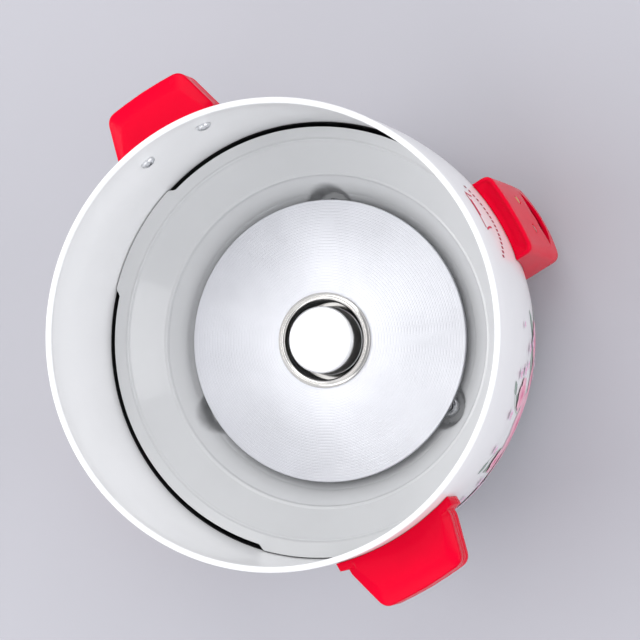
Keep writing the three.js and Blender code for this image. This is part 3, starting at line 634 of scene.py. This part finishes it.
def dish_column(degrees):
    """Points (radius, height) of the dish's upper side, from its centre hole to its edge."""
    off_tab = min(away_from(degrees, tab) for tab in TAB_ANGLES)
    tab = 1 - smooth_step(TAB_HALF_ANGLE - 0.6, TAB_HALF_ANGLE + 1.4, off_tab)
    edge = DISH_EDGE_RADIUS + (DISH_TAB_RADIUS - DISH_EDGE_RADIUS) * tab
    edge_z = DISH_EDGE_Z - 0.6 + 0.6 * tab
    profile = rounded([*DISH_PROFILE, (edge, edge_z, 0)], steps=6)
    column = []
    for (r0, z0), (r1, z1) in zip(profile, profile[1:]):
        pieces = max(1, round(hypot(r1 - r0, z1 - z0) / 1.9))
        column += [(r0 + (r1 - r0) * k / pieces, z0 + (z1 - z0) * k / pieces) for k in range(pieces)]
    return [*column, profile[-1]]


def build_dish():
    angles = []
    degrees = 0.0
    while degrees < 359.99:
        angles.append(degrees)
        near_dimple = min(away_from(degrees + 0.6, dimple) for dimple in DIMPLE_ANGLES)
        near_step = min(abs(away_from(degrees + 0.6, tab) - TAB_HALF_ANGLE) for tab in TAB_ANGLES)
        degrees += 0.6 if near_dimple < 12.6 or near_step < 3 else 2.4
    columns = []
    for degrees in angles:
        column = []
        for radius, z in dish_column(degrees):
            point = around(radius, degrees, z)
            for dimple in DIMPLE_ANGLES:
                middle = around(DIMPLE_CIRCLE, dimple)
                away = hypot(point.x - middle.x, point.y - middle.y)
                inside = 1 - smooth_step(DIMPLE_RADIUS - 2.2, DIMPLE_RADIUS + 1.6, away)
                point.z += (min(point.z, DIMPLE_FLOOR_Z) - point.z) * inside
            column.append(point)
        columns.append(column)
    rows = min(len(column) for column in columns)
    points = []
    for column in columns:
        top = column[:rows - 1] + [column[-1]]
        points += top
        points += [point - Vector((0, 0, DISH_SHEET)) for point in top[:-1]]
        hem = top[-1] * (1 - DISH_HEM_DRAWN_IN)
        points.append((hem.x, hem.y, top[-1].z - DISH_HEM_DEPTH))
    faces = []
    for k in range(len(columns)):
        a, b = k * 2 * rows, ((k + 1) % len(columns)) * 2 * rows
        for i in range(rows - 1):
            faces.append([a + i, b + i, b + i + 1, a + i + 1])
            faces.append([a + rows + i, a + rows + i + 1, b + rows + i + 1, b + rows + i])
        faces.append([a, a + rows, b + rows, b])
        faces.append([a + rows - 1, b + rows - 1, b + 2 * rows - 1, a + 2 * rows - 1])
    show(solid("dish", points, faces), "dish_paint", "heat_shield_dish")


def build_painted_shade_band():
    """Painted shade: a dark band on the inside of the shell, put where the gaps beside the dish lie in
    shadow.
    """
    inside = [(shell_radius(z) - SHEET, z) for z in (SHADE_BAND_TOP_Z - 3 * k for k in range(11))]
    band = turned("painted_shade_band", [*inside, *((r - 0.25, z) for r, z in inside[::-1])], closed=True)
    show(band, "black_plastic")


def build_washers():
    for i, dimple in enumerate(DIMPLE_ANGLES):
        middle = around(DIMPLE_CIRCLE, dimple, DIMPLE_FLOOR_Z)
        washer = turned(f"dimple_washer_{i + 1}", rounded([
            (3.6, 0.02, 0.2), (7.2, 0.02, 0.3), (7.2, 1.6, 0.8), (5.4, 2.6, 0.8), (3.6, 2.6, 0.5),
        ], closed=True), 48, closed=True)
        show(placed(washer, Matrix.Translation(middle * MM)), "zinc_steel")


# ---- heating plate and limiter
def build_plate():
    """Crowned plate with a fine turned groove in every ring, and a boss for the element under it."""
    bend = PLATE_EDGE_ROUND
    inner, outer = SLEEVE_LIP_RADIUS - 1.6, PLATE_RADIUS - bend
    steps_per_ring = 6
    groove_depth = 0.035
    count = round((outer - inner) / PLATE_RING_PITCH * steps_per_ring)
    top = []
    for k in range(count + 1):
        share = k / count
        z = PLATE_EDGE_Z + (PLATE_CROWN_Z - PLATE_EDGE_Z) * sin(share * pi / 2)
        groove = groove_depth * (1 - cos(2 * pi * k / steps_per_ring)) / 2
        top.append((outer - (outer - inner) * share, z - groove))
    edge = [(outer + bend * sin(a), PLATE_EDGE_Z - bend + bend * cos(a))
            for a in (1.57, 1.2, 0.8, 0.4)]
    under = rounded([
        (27.2, PLATE_CROWN_Z - 0.5, 0), (27.2, PLATE_BOTTOM_Z, 0.5), (51, PLATE_BOTTOM_Z, 1.5),
        (53, 55, 2), (61, 55, 2), (63, PLATE_BOTTOM_Z, 1.5), (PLATE_RADIUS, PLATE_BOTTOM_Z, 0.8),
        (PLATE_RADIUS, PLATE_EDGE_Z - bend, 0),
    ])
    show(turned("plate", [*under, *edge, *top], 192, closed=True), "plate_aluminium", "heating_plate",
            sharp_angle=60)


def build_limiter():
    lip_low = PLATE_CROWN_Z + GAP
    lip, bore, bottom = SLEEVE_LIP_RADIUS, SLEEVE_BORE_RADIUS, SLEEVE_BOTTOM_Z
    wall = bore + 1.2
    sleeve = turned("sleeve", rounded([
        (wall, lip_low, 0.3), (lip, lip_low, 0.4), (lip, lip_low + 1.1, 0.7),
        (lip - 2.0, lip_low + 1.9, 0.8), (wall + 1.0, lip_low + 1.3, 0.5),
        (wall + 0.4, lip_low + 1.5, 0.4), (bore + 0.4, lip_low + 1.0, 0.8),
        (bore, lip_low - 2, 0.8), (bore, bottom + 1, 0.8),
        (14.5, bottom + 1, 0.3), (14.5, bottom, 0.3), (wall, bottom, 1),
    ], closed=True), SEGMENTS, closed=True)
    show(sleeve, "chrome", "limiter_sleeve")
    # Painted shade: a thin black tube inside the sleeve's bore, put there to make the gap round the cap
    # dark.
    bore -= 0.05
    bore_shade_low, bore_shade_high = bottom + 1.4, lip_low - 2.4
    bore_shade = turned("sleeve_bore_shade", rounded([
        (bore, bore_shade_low, 0.1), (bore, bore_shade_high, 0.1), (bore - 0.4, bore_shade_high, 0.1),
        (bore - 0.4, bore_shade_low, 0.1),
    ], closed=True), SEGMENTS, closed=True)
    show(bore_shade, "black_plastic")
    outer, top, bottom = CAP_RADIUS, CAP_TOP_Z, CAP_BOTTOM_Z
    cap = turned("cap", [(0, top), (0.5, top)] + rounded([
        (outer - 6, top, 0), (outer, top, 1.9), (outer, bottom + 1.1, 1), (outer + 0.7, bottom + 1, 0.3),
        (outer + 0.7, bottom, 0.3), (outer - 1, bottom, 0.8), (outer - 1, top - 1, 1.2), (0, top - 1, 0),
    ]))
    show(cap, "cap_aluminium", "limiter_cap", body="limiter")


def coil(name, radius, wire, z_low, z_high, turns, centre):
    """Compression spring: one round wire of a radius, its end turns closed up."""
    steps = 28 * turns
    sides = 10
    rise = z_high - z_low - 2 * wire
    loops = []
    for k in range(steps + 1):
        t = k / steps
        angle = 2 * pi * turns * t
        z = z_low + wire + rise * smooth_step(0.02, 0.98, t) * 0.5 + rise * t * 0.5
        loop = []
        for s in range(sides):
            around_wire = 2 * pi * s / sides
            reach = radius + wire * cos(around_wire)
            loop.append((centre[0] + reach * cos(angle), centre[1] + reach * sin(angle),
                         z + wire * sin(around_wire)))
        loops.append(loop)
    return lofted(name, loops)


def build_springs():
    bottom, top = low("cap_spring").z, high("cap_spring").z
    cap_spring = coil("limiter_spring", 17.3, 0.6, bottom, top - 0.1, 5, (0, 0))
    show(cap_spring, "spring_steel", "cap_spring")
    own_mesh(cap_spring)
    bottom, top = low("lever_spring").z, high("lever_spring").z
    return_spring = coil("return_spring", 4, 0.5, bottom, top, 4, middle_of("lever_spring")[:2])
    show(return_spring, "spring_steel", "lever_spring")
    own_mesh(return_spring)


# ---- screws
def pan_screw(name, head_radius, head_height, shaft_radius, shaft_length):
    """Pan-head screw with a cross recess: underside of the head at z = 0, the head above it."""
    body = turned(name, rounded([
        (0, -shaft_length, 0), (shaft_radius, 1.4 - shaft_length, 0.2), (shaft_radius, -0.1, 0),
        (head_radius, 0, 0.2), (head_radius, head_height * 0.55, head_height * 0.5),
        (head_radius * 0.55, head_height, head_radius * 0.5), (0, head_height, 0),
    ]), 40)
    blades = []
    for i in range(2):
        turn = Matrix.Rotation(radians(90 * i), 4, "Z")
        top, floor = head_height + 0.5, -0.2 * head_height
        reach, root = head_radius * 0.64, head_radius * 0.5
        width, slim = head_radius * 0.13, head_radius * 0.11
        loops = [[(x, y, z) for x, y in ((-r, -w), (r, -w), (r, w), (-r, w))]
                 for r, w, z in ((root, slim, floor), (reach, width, top))]
        blades.append(placed(lofted("blade", loops), turn))
    return cut(body, *blades)


def build_screws():
    for side, middle in (("right", 90), ("left", 270)):
        for i, sign in enumerate((-1, 1)):
            degrees = middle + sign * HANDLE_SCREW_ANGLE
            seat = shell_radius(HANDLE_SCREW_Z) - SHEET - 0.15
            screw = pan_screw(f"handle_{side}_pan_screw_{i + 1}", 4.6, 2.6, 1.7, 14)
            placed(screw, Matrix.Rotation(radians(20 + 34 * (i + (side == "left"))), 4, "Z"))
            placed(screw, facing(-around(1, degrees), around(seat, degrees, HANDLE_SCREW_Z)))
            show(screw, "zinc_steel", f"handle_{side}_screw_{i + 1}", sharp_angle=50)
    for place, head_side, shaft in (("housing", 1, 8), ("inlet", -1, 10)):
        for side in ("left", "right"):
            node = f"{place}_screw_{side}"
            tip_y = low(node).y if head_side == 1 else high(node).y
            seat = (middle_of(node).x, tip_y + head_side * shaft, middle_of(node).z)
            screw = pan_screw(f"{place}_{side}_pan_screw", 3.2, 2, 1.5, shaft)
            placed(screw, facing((0, head_side, 0), seat))
            show(screw, "zinc_steel", node, sharp_angle=50)


# ---- control housing, lamps and lever
def housing_loop(z, inset):
    """Plan loop of the housing at a height, drawn in on its sides and its rounded front."""
    _, half, corner_y, middle_y = through(HOUSING_PLAN, z, 0)
    half -= inset
    round_off = max(1.0, 5.0 - inset * 0.6)

    def front_y(x):
        return middle_y + inset + (corner_y - middle_y) * (x / half) ** 2

    side_end, front_end = front_y(half) + round_off, half - round_off
    loop = [(half, HOUSING_BACK_Y), (half, (HOUSING_BACK_Y + side_end) / 2)]
    for step in range(7):
        t = step / 6
        x = half * (1 - t * t) + front_end * t * t
        y = side_end * (1 - t) ** 2 + front_y(half) * 2 * t * (1 - t) + front_y(front_end) * t * t
        loop.append((x, y))
    steps = 18
    loop += [(x, front_y(x)) for x in (front_end * (1 - k / steps) for k in range(1, steps + 1))]
    loop += [(-x, y) for x, y in loop[-2::-1]]
    return [(x, y, z) for x, y in loop]


def lens_loop(half_width, half_height):
    """Eye-shaped outline about the origin."""
    count = 64
    loop = []
    for k in range(count):
        angle = 2 * pi * k / count
        x = half_width * cos(angle)
        half = half_height * (1 - (x / half_width) ** 2)
        loop.append((x, half if sin(angle) >= 0 else -half))
    return loop


def build_housing():
    bottom, top = HOUSING_PLAN[0][0], HOUSING_PLAN[-1][0]
    rows = [(bottom, 1.6), (bottom + 0.25, 0.8), (bottom + 0.8, 0.25), (bottom + 1.6, 0)]
    rows += [(bottom + 1.6 + (top - bottom - 3.2) * k / 16, 0) for k in range(1, 16)]
    rows += [
        (top - 1.6, 0), (top - 0.9, 0.1), (top - 0.3, 0.45), (top, 1.1), (top, 1.7), (top - 0.35, 2.15),
        (top - 1.0, 2.5), (top - 1.6, 3.4), (top - 2.4, 5.4), (top - 2.9, 6.6), (top - 3.4, 7.2),
        (top - 3.7, 8.0), (top - 3.7, 9.2),
    ]
    housing = lofted("housing", [housing_loop(z, inset) for z, inset in rows])
    wall = 2.2
    cavity_heights = [bottom + wall, *(bottom + 12 + 8 * k for k in range(7)), top - 8.5]
    cavity = lofted("cavity", [housing_loop(z, wall) for z in cavity_heights])
    outline = lens_loop(SLOT_HALF_WIDTH, SLOT_HALF_HEIGHT)
    slot = lofted("slot", [[(x, y, SLOT_Z + z) for x, z in outline] for y in (-156, -134)])
    radius, depth = LAMP_HOLE_RADIUS, 12
    lamp_holes = []
    for x in (-LAMP_X, LAMP_X):
        hole = turned("lamp_hole", [(0, 0), (radius, 0), (radius, depth), (0, depth)], 32)
        lamp_holes.append(placed(hole, facing((0, depth, 0), (x, -150, LAMP_Z))))
    cut(housing, shell_envelope(GAP), cavity, slot, *lamp_holes)
    eased(housing, 0.7, 40)
    show(housing, "red_plastic", "control_housing")


def build_lamps():
    for x, node, slot in (
        (-LAMP_X, "lamp_lens_cook", "lamp_red"), (LAMP_X, "lamp_lens_warm", "lamp_amber"),
    ):
        front = low(node).y
        lens = turned(f"{node}_dome", rounded([
            (0, 0, 0), (2.8, 0.1, 1.2), (2.8, 4.3, 0), (3.8, 4.3, 0.3), (3.8, 7.8, 0.3), (0, 7.8, 0),
        ]), 40)
        placed(lens, facing((0, 1, 0), (x, front, LAMP_Z)))
        show(lens, slot, node)


def build_paddle():
    """The lever's end, with a bulging front and drawn-in edges, on a neck with a socket for the arm."""
    front = low("lever_paddle").y + PADDLE_RECESS
    outline = lens_loop(PADDLE_HALF_WIDTH, 1)
    half_above, half_below = 4.3, 3.6
    loops = []
    for depth, shrink in ((12.5, 0), (6, 0), (2.4, 0), (1.2, 0.25), (0.5, 0.7), (0.1, 1.3), (0, 2)):
        loop = []
        for x, side in outline:
            width = (PADDLE_HALF_WIDTH - shrink * 0.8) / PADDLE_HALF_WIDTH
            height = max(0.15, 1 - shrink / half_above) * (half_above if side >= 0 else half_below)
            swell = (x * width) ** 2 / 72 if depth < 12 else 0
            loop.append((x * width, front + depth + swell, PADDLE_Z + side * height))
        loops.append(loop)
    paddle = lofted("paddle", loops)
    joined(paddle, box("neck", -8, 8, -137, -120.5, PADDLE_Z - 3, PADDLE_Z + 2.4))
    cut(paddle, box("arm_socket", -6.3, 6.3, -133.3, -110, PADDLE_Z - 1.2, PADDLE_Z + 1.2))
    eased(paddle, 0.5, 50)
    show(paddle, "red_plastic", "lever_paddle", body="cooking_lever")


# ---- handles
def handle_loop(z, front_inset, side_inset):
    """Plan loop of the grip, pointing along +X, drawn in at its front and its sides."""
    reach = HANDLE_REACH - front_inset
    half_root, half_tip = HANDLE_ROOT_HALF_WIDTH - side_inset, HANDLE_TIP_HALF_WIDTH - side_inset
    quarter = rounded([
        (HANDLE_ROOT_X, -half_root, 0), (139, -half_root, 8), (reach - 1.4, -half_tip, 8),
        (reach - 0.4, -12, 10), (reach, 0, 0),
    ], steps=8)
    quarter[-1] = (reach, 0)
    return [(x, y, z) for x, y in quarter + [(x, -y) for x, y in quarter[-2::-1]]]


def pad_loop(z, inset):
    """Plan loop of the pad that lies on the shell, drawn in at its front and its sides."""
    half = HANDLE_PAD_HALF_WIDTH - inset
    outer = HANDLE_PAD_RADIUS - inset
    span = asin(half / outer)
    arc = [(outer * cos(a), outer * sin(a)) for a in (span * (k / 12 - 1) for k in range(25))]
    return [(x, y, z) for x, y in [(HANDLE_ROOT_X, -half), *arc, (HANDLE_ROOT_X, half)]]


def build_handle(side, turn):
    """Two halves that meet at a seam; each row is a height and its insets."""
    low_z, seam, top = HANDLE_BOTTOM_Z, HANDLE_SEAM_Z, HANDLE_TOP_Z
    joint = GAP / 2
    groove = seam + 5.2
    upper_rows = [
        (seam + joint, 0.7, 0.7), (seam + joint + 0.5, 0.15, 0.15), (seam + 1.2, 0, 0), (groove, 0, 0),
        (groove + 0.15, 0.45, 0.45), (groove + 0.65, 0.45, 0.45), (groove + 0.8, 0, 0), (top - 4.2, 0, 0),
        (top - 3.4, 0.15, 0.1), (top - 2.8, 0.6, 0.4), (top - 2.4, 1.3, 0.9), (top - 0.5, 8.6, 4.2),
        (top - 0.12, 10, 5), (top, 11.5, 6),
    ]
    lower_rows = [
        (low_z, 3, 3), (low_z + 0.3, 1.4, 1.4), (low_z + 1.2, 0.35, 0.35), (low_z + 2.6, 0, 0),
        (seam - 1.2, 0, 0), (seam - joint - 0.5, 0.15, 0.15), (seam - joint, 0.7, 0.7),
    ]
    upper_pad = [
        (seam + joint, 0.6), (seam + joint + 0.6, 0), (top - 1.4, 0), (top - 0.8, 0.3), (top - 0.5, 0.9),
    ]
    lower_pad = [(low_z + 0.2, 0.9), (low_z + 0.9, 0), (seam - joint - 0.6, 0), (seam - joint, 0.6)]
    halves = (("upper", upper_rows, upper_pad), ("lower", lower_rows, lower_pad))
    for half, rows, pad_rows in halves:
        name = f"grip_{side}_{half}"
        grip = lofted(name, [handle_loop(*row) for row in rows])
        joined(grip, lofted("pad", [pad_loop(*row) for row in pad_rows]))
        cut(grip, shell_envelope(GAP))
        eased(grip, 0.45, 50, 2)
        placed(grip, Matrix.Rotation(turn, 4, "Z"))
        show(grip, "red_plastic", f"handle_{side}_{half}", sharp_angle=40)


# ---- base, feet and inlet
def build_base():
    bottom, top = low("base_plate").z, high("base_plate").z
    outer = high("base_plate").x
    groove = bottom + 0.8
    rows = [
        (0, groove, 0), (20, groove, 0.5), (21, bottom, 0.5), (24, bottom, 0.5), (25, groove, 0.5),
        (70, groove, 0.5), (71, bottom, 0.5), (74, bottom, 0.5), (75, groove, 0.5),
        (outer - 5, groove, 0.5), (outer - 4, bottom, 0.5), (outer, bottom, 0.9), (outer, top, 0.9),
        (0, top, 0),
    ]
    plate = turned("base_cover", rounded(rows, steps=3), 144)
    outline = [(1.5 * cos(a), 60.5 + 1.5 * sin(a)) for a in (pi * k / 8 for k in range(9))]
    outline += [(-x, 100 - y) for x, y in outline]
    tools = []
    for i in range(VENT_SLOTS):
        tool = lofted("slot", [[(x, y, z) for x, y in outline] for z in (10, 20)])
        tools.append(placed(tool, Matrix.Rotation(2 * pi * (i + 0.5) / VENT_SLOTS, 4, "Z")))
    cut(plate, merged("slots", tools))
    show(plate, "black_plastic", "base_plate")


def build_feet():
    plate_low, plate_high = low("base_plate").z, high("base_plate").z
    for i, degrees in enumerate(FOOT_ANGLES):
        foot = turned(f"foot_pad_{i + 1}", rounded([
            (0, 2.5, 0), (5, 2.5, 0.8), (5.4, 0, 0.6), (9, 0, 1), (10, 1.4, 1), (11.5, 11, 2),
            (11.5, plate_low - GAP, 0.8), (3, plate_low - GAP, 0), (3, plate_high, 0.4),
            (0, plate_high, 0),
        ]), 56)
        placed(foot, Matrix.Translation(around(FOOT_CIRCLE, degrees) * MM))
        show(foot, "foot_rubber", f"foot_{i + 1}")


def finish_cad_nodes():
    """Material for every CAD node, and softened edges and smooth shading for those that stay."""
    slots = {part["node"]: part["material_slot"] for part in frame["record"]["subparts"]}
    for node, thing in frame["nodes"].items():
        thing.data.materials.clear()
        thing.data.materials.append(FINISHES[slots[node]])
        if thing.hide_render:
            continue
        shade(thing.data)
        if node.startswith("lead_"):
            modifier = thing.modifiers.new("round", "SUBSURF")
            modifier.levels = modifier.render_levels = 1
        else:
            soften(thing, 0.8 if node == "inlet_housing" else 0.25, 40, 2)


# ---- print on the shell
PATCH_STEP = 0.004  # each patch lies this much higher than the one before


def set_off(middle, heading, along, aside):
    """The point some way along a heading from a middle, and some way to its left."""
    return (middle[0] + along * cos(heading) - aside * sin(heading),
            middle[1] + along * sin(heading) + aside * cos(heading))


class Print:
    """Flat patches of colour that follow the shell, as one mesh."""

    def __init__(self, angle, z):
        self.angle, self.z = angle, z
        self.points, self.faces, self.inks = [], [], []
        self.lift = 0.06

    def place(self, across, up):
        z = self.z + up
        radius = shell_radius(z)
        return around(radius + self.lift, self.angle + to_degrees(across / radius), z)

    def patch(self, outline, centre, inner, outer, rings=4):
        """A patch inside an outline of (across, up) points, shaded from its centre to its edge."""
        start = len(self.points)
        self.points.append(self.place(*centre))
        self.inks.append(inner)
        count = len(outline)
        for ring in range(1, rings + 1):
            share = ring / rings
            colour = tuple(a + (b - a) * share**1.5 for a, b in zip(inner, outer))
            for x, y in outline:
                self.points.append(self.place(centre[0] + (x - centre[0]) * share,
                                              centre[1] + (y - centre[1]) * share))
                self.inks.append(colour)
        for k in range(count):
            n = (k + 1) % count
            self.faces.append([start, start + 1 + k, start + 1 + n])
            for ring in range(rings - 1):
                a, b = start + 1 + ring * count, start + 1 + (ring + 1) * count
                self.faces.append([a + k, b + k, b + n, a + n])
        self.lift += PATCH_STEP

    def petal(self, middle, heading, length, width, inner, outer, wave=0.0):
        """Rounded petal from a middle point outwards."""
        outline = []
        count = 22
        for k in range(count):
            a = 2 * pi * k / count
            along = length * (0.5 - 0.5 * cos(a))
            side = width * sin(a) * (0.55 + 0.45 * along / length) * (1 + wave * sin(5 * a))
            outline.append(set_off(middle, heading, along, side))
        self.patch(outline, set_off(middle, heading, 0.2 * length, 0), inner, outer)

    def leaf(self, middle, heading, length, width, dark, pale):
        """Pointed leaf with a darker half."""
        for side, colour in ((1, pale), (-1, dark)):
            edge = []
            for k in range(13):
                t = k / 12
                bulge = width * sin(pi * t**0.85) * (1 + 0.08 * sin(9 * pi * t))
                edge.append((t * length, side * bulge))
            edge += [(t * length, 0) for t in (0.75, 0.5, 0.25)]
            outline = [set_off(middle, heading, *point) for point in edge]
            centre = set_off(middle, heading, 0.45 * length, side * 0.3 * width)
            self.patch(outline, centre, colour, tinted(colour, 0.72), 3)

    def stroke(self, start, end, bend, width, colour):
        """A line of one width, with a sideways bend at its middle."""
        start, end = Vector(start), Vector(end)
        aside = (end - start).normalized().orthogonal()
        steps = 12
        line = []
        for k in range(steps + 1):
            t = k / steps
            line.append(start + (end - start) * t + aside * (bend * sin(pi * t)))
        left = [point - aside * width / 2 for point in line]
        right = [point + aside * width / 2 for point in line[::-1]]
        base = len(self.points)
        outline = left + right
        self.points += [self.place(*point) for point in outline]
        self.inks += [colour] * len(outline)
        count = len(outline)
        for k in range(steps):
            self.faces.append([base + k, base + k + 1, base + count - 2 - k, base + count - 1 - k])
        self.lift += PATCH_STEP

    def finish(self, name):
        """Turns the patches outwards and shows them as a thin film."""
        mesh = bpy.data.meshes.new(name)
        mesh.from_pydata([[c * MM for c in point] for point in self.points], [], self.faces)
        attribute = mesh.attributes.new("ink", "FLOAT_COLOR", "POINT")
        for i, ink in enumerate(self.inks):
            attribute.data[i].color = (*ink, 1)
        outward = sum(face.normal.dot(face.center * Vector((1, 1, 0))) for face in mesh.polygons)
        if outward < 0:
            mesh.flip_normals()
        thing = linked(name, mesh)
        modifier = thing.modifiers.new("film", "SOLIDIFY")
        modifier.thickness = 0.03 * MM
        modifier.offset = -1
        applied(thing)
        show(thing, "shell_paint", finish=PRINT_INK)


PINKS = [(0.88, 0.52, 0.61), (0.86, 0.38, 0.50), (0.80, 0.24, 0.38), (0.64, 0.12, 0.26)]
GREENS = [(0.40, 0.50, 0.43), (0.52, 0.60, 0.52), (0.31, 0.41, 0.35)]


def draw_rose(art, middle, size, chance):
    # each round of petals: count, reach and width as shares of the size, outer and inner pink
    rounds = (
        (7, 1.0, 0.46, 0, 1), (6, 0.78, 0.42, 0, 1), (5, 0.58, 0.36, 1, 2), (4, 0.4, 0.28, 1, 2),
        (3, 0.24, 0.2, 2, 3),
    )
    for count, reach, width, outer, inner in rounds:
        turn = chance.uniform(0, 2 * pi)
        for k in range(count):
            heading = turn + 2 * pi * k / count + chance.uniform(-0.12, 0.12)
            length = size * reach * chance.uniform(0.92, 1.06)
            art.petal(middle, heading, length, size * width, PINKS[inner], PINKS[outer], 0.05)


def build_print():
    """Roses on leaves and stems, with small blossoms scattered round them."""
    chance = random.Random(11)
    art = Print(-54, 80)
    stems = (
        ((-6, -40), (4, 10), 4), ((18, -34), (22, 8), -3), ((-26, -30), (-18, 6), 3),
        ((8, 20), (20, 50), 3), ((-14, 20), (-22, 46), -3),
    )
    for start, end, bend in stems:
        art.stroke(start, end, bend, 0.9, GREENS[1])
    # middle, heading, length and width
    leaves = [
        ((-2, 0), 2.4, 34, 6), ((6, 4), 0.9, 36, 6.5), ((-14, -10), 3.5, 30, 6),
        ((20, -8), -0.3, 30, 5.5), ((6, -20), -1.0, 28, 6), ((-10, -18), -2.2, 28, 5.5),
        ((14, 24), 1.3, 22, 4), ((-20, 18), 2.0, 24, 4.5), ((30, 4), 0.4, 24, 4.5),
        ((-30, -2), 2.9, 22, 4), ((20, 48), 0.8, 12, 2.6), ((-22, 44), 2.4, 12, 2.6),
        ((50, 2), 0.7, 26, 4.5), ((-50, 0), 2.5, 26, 4.5), ((52, -8), -0.4, 24, 4),
        ((-52, -10), 3.5, 24, 4),
    ]
    for middle, heading, length, width in leaves:
        pair = chance.sample(GREENS, 2)
        art.leaf(middle, heading, length, width, *pair)
    roses = (
        ((0, 0), 24), ((27, -14), 19), ((-27, -12), 18), ((50, -6), 14), ((-50, -8), 14), ((20, 30), 11),
        ((-22, 26), 9),
    )
    for middle, size in roses:
        draw_rose(art, middle, size, chance)
    for _ in range(30):
        spot = (chance.uniform(-62, 62), chance.uniform(-30, 50))
        turn = chance.uniform(0, 6)
        size = chance.uniform(2.2, 4)
        if hypot(spot[0], spot[1] * 0.9) < 30:
            continue
        for k in range(5):
            art.petal(spot, turn + k * 2 * pi / 5, size, size * 0.42, PINKS[1], (0.80, 0.66, 0.84))
    art.finish("rose_print")


def build_front_print():
    """Dashed line round the shell over the control housing, with a plain pot outline above it."""
    art = Print(-1.7, 146)
    red, deep = (0.62, 0.02, 0.07), (0.36, 0.008, 0.04)
    dashes, half_span, dip = 17, 23, 15
    for k in range(dashes):
        across = half_span * (2 * k / (dashes - 1) - 1)
        up = dip * ((across / half_span) ** 2 - 1)
        art.stroke((across, up - 2.2), (across, up + 2.2), 0, 1.7, deep)
    art.stroke((-6, 14), (17, 14), 0, 1.6, red)
    art.stroke((2, 12.6), (13, 12.6), 0, 4.6, red)
    art.stroke((-7, 13), (-5, -1), 0.6, 1.3, red)
    art.stroke((18, 13), (16, 3), -0.6, 1.3, red)
    art.finish("front_print")


# ---- studio
FLOOR_COLOUR = (0.4, 0.397, 0.43)
FLOOR_REACH = 6  # metres
WORLD_COLOUR = (0.93, 0.95, 1.0, 1)
WORLD_STRENGTH = 0.5
LIGHTS_AIM = Vector((0, 0, 0.1))
# area lights: name, place in metres, size in metres, power in watts, colour
LIGHTS = (
    ("panel", (0.45, 0.6, 2.8), 3.2, 25, (1, 1, 1)),
    ("key", (1.4, -0.8, 1.6), 1.5, 18, (1, 1, 1)),
    ("left", (0.85, 1.6, 1.3), 1.4, 25, (1, 0.99, 1)),
    ("right", (-0.9, -1.6, 1.2), 1.6, 25, (0.98, 0.98, 1)),
    ("low", (-1.5, 0.9, 1.3), 1.6, 15, (0.97, 0.98, 1)),
)


def build_studio():
    mesh = bpy.data.meshes.new("floor")
    reach = FLOOR_REACH
    corners = [(-reach, -reach, 0), (reach, -reach, 0), (reach, reach, 0), (-reach, reach, 0)]
    mesh.from_pydata(corners, [], [(0, 1, 2, 3)])
    floor = linked("floor", mesh)
    paper = Finish("floor_paper", FLOOR_COLOUR, 0.6)
    paper.paint(paper.noise(3, 3), FLOOR_COLOUR, {0.3: 0.99, 0.7: 1.015})
    paper.bump(paper.noise(700, 3), 0.03)
    mesh.materials.append(paper.material)
    world = bpy.data.worlds.new("studio")
    world.use_nodes = True
    background = world.node_tree.nodes["Background"]
    background.inputs["Color"].default_value = WORLD_COLOUR
    background.inputs["Strength"].default_value = WORLD_STRENGTH
    bpy.context.scene.world = world
    for name, place, size, power, colour in LIGHTS:
        data = bpy.data.lights.new(name, "AREA")
        data.size = size
        data.energy = power
        data.color = colour
        lamp = linked(name, data)
        lamp.location = place
        lamp.rotation_mode = "QUATERNION"
        lamp.rotation_quaternion = (Vector(place) - LIGHTS_AIM).to_track_quat("Z", "Y")
    bpy.context.scene.view_settings.view_transform = "Standard"


make_camera()
build_studio()
build_shell()
build_dish()
build_painted_shade_band()
build_washers()
build_plate()
build_limiter()
build_springs()
build_screws()
build_housing()
build_lamps()
build_paddle()
build_handle("right", 0.0)
build_handle("left", pi)
build_base()
build_feet()
build_print()
build_front_print()
finish_cad_nodes()
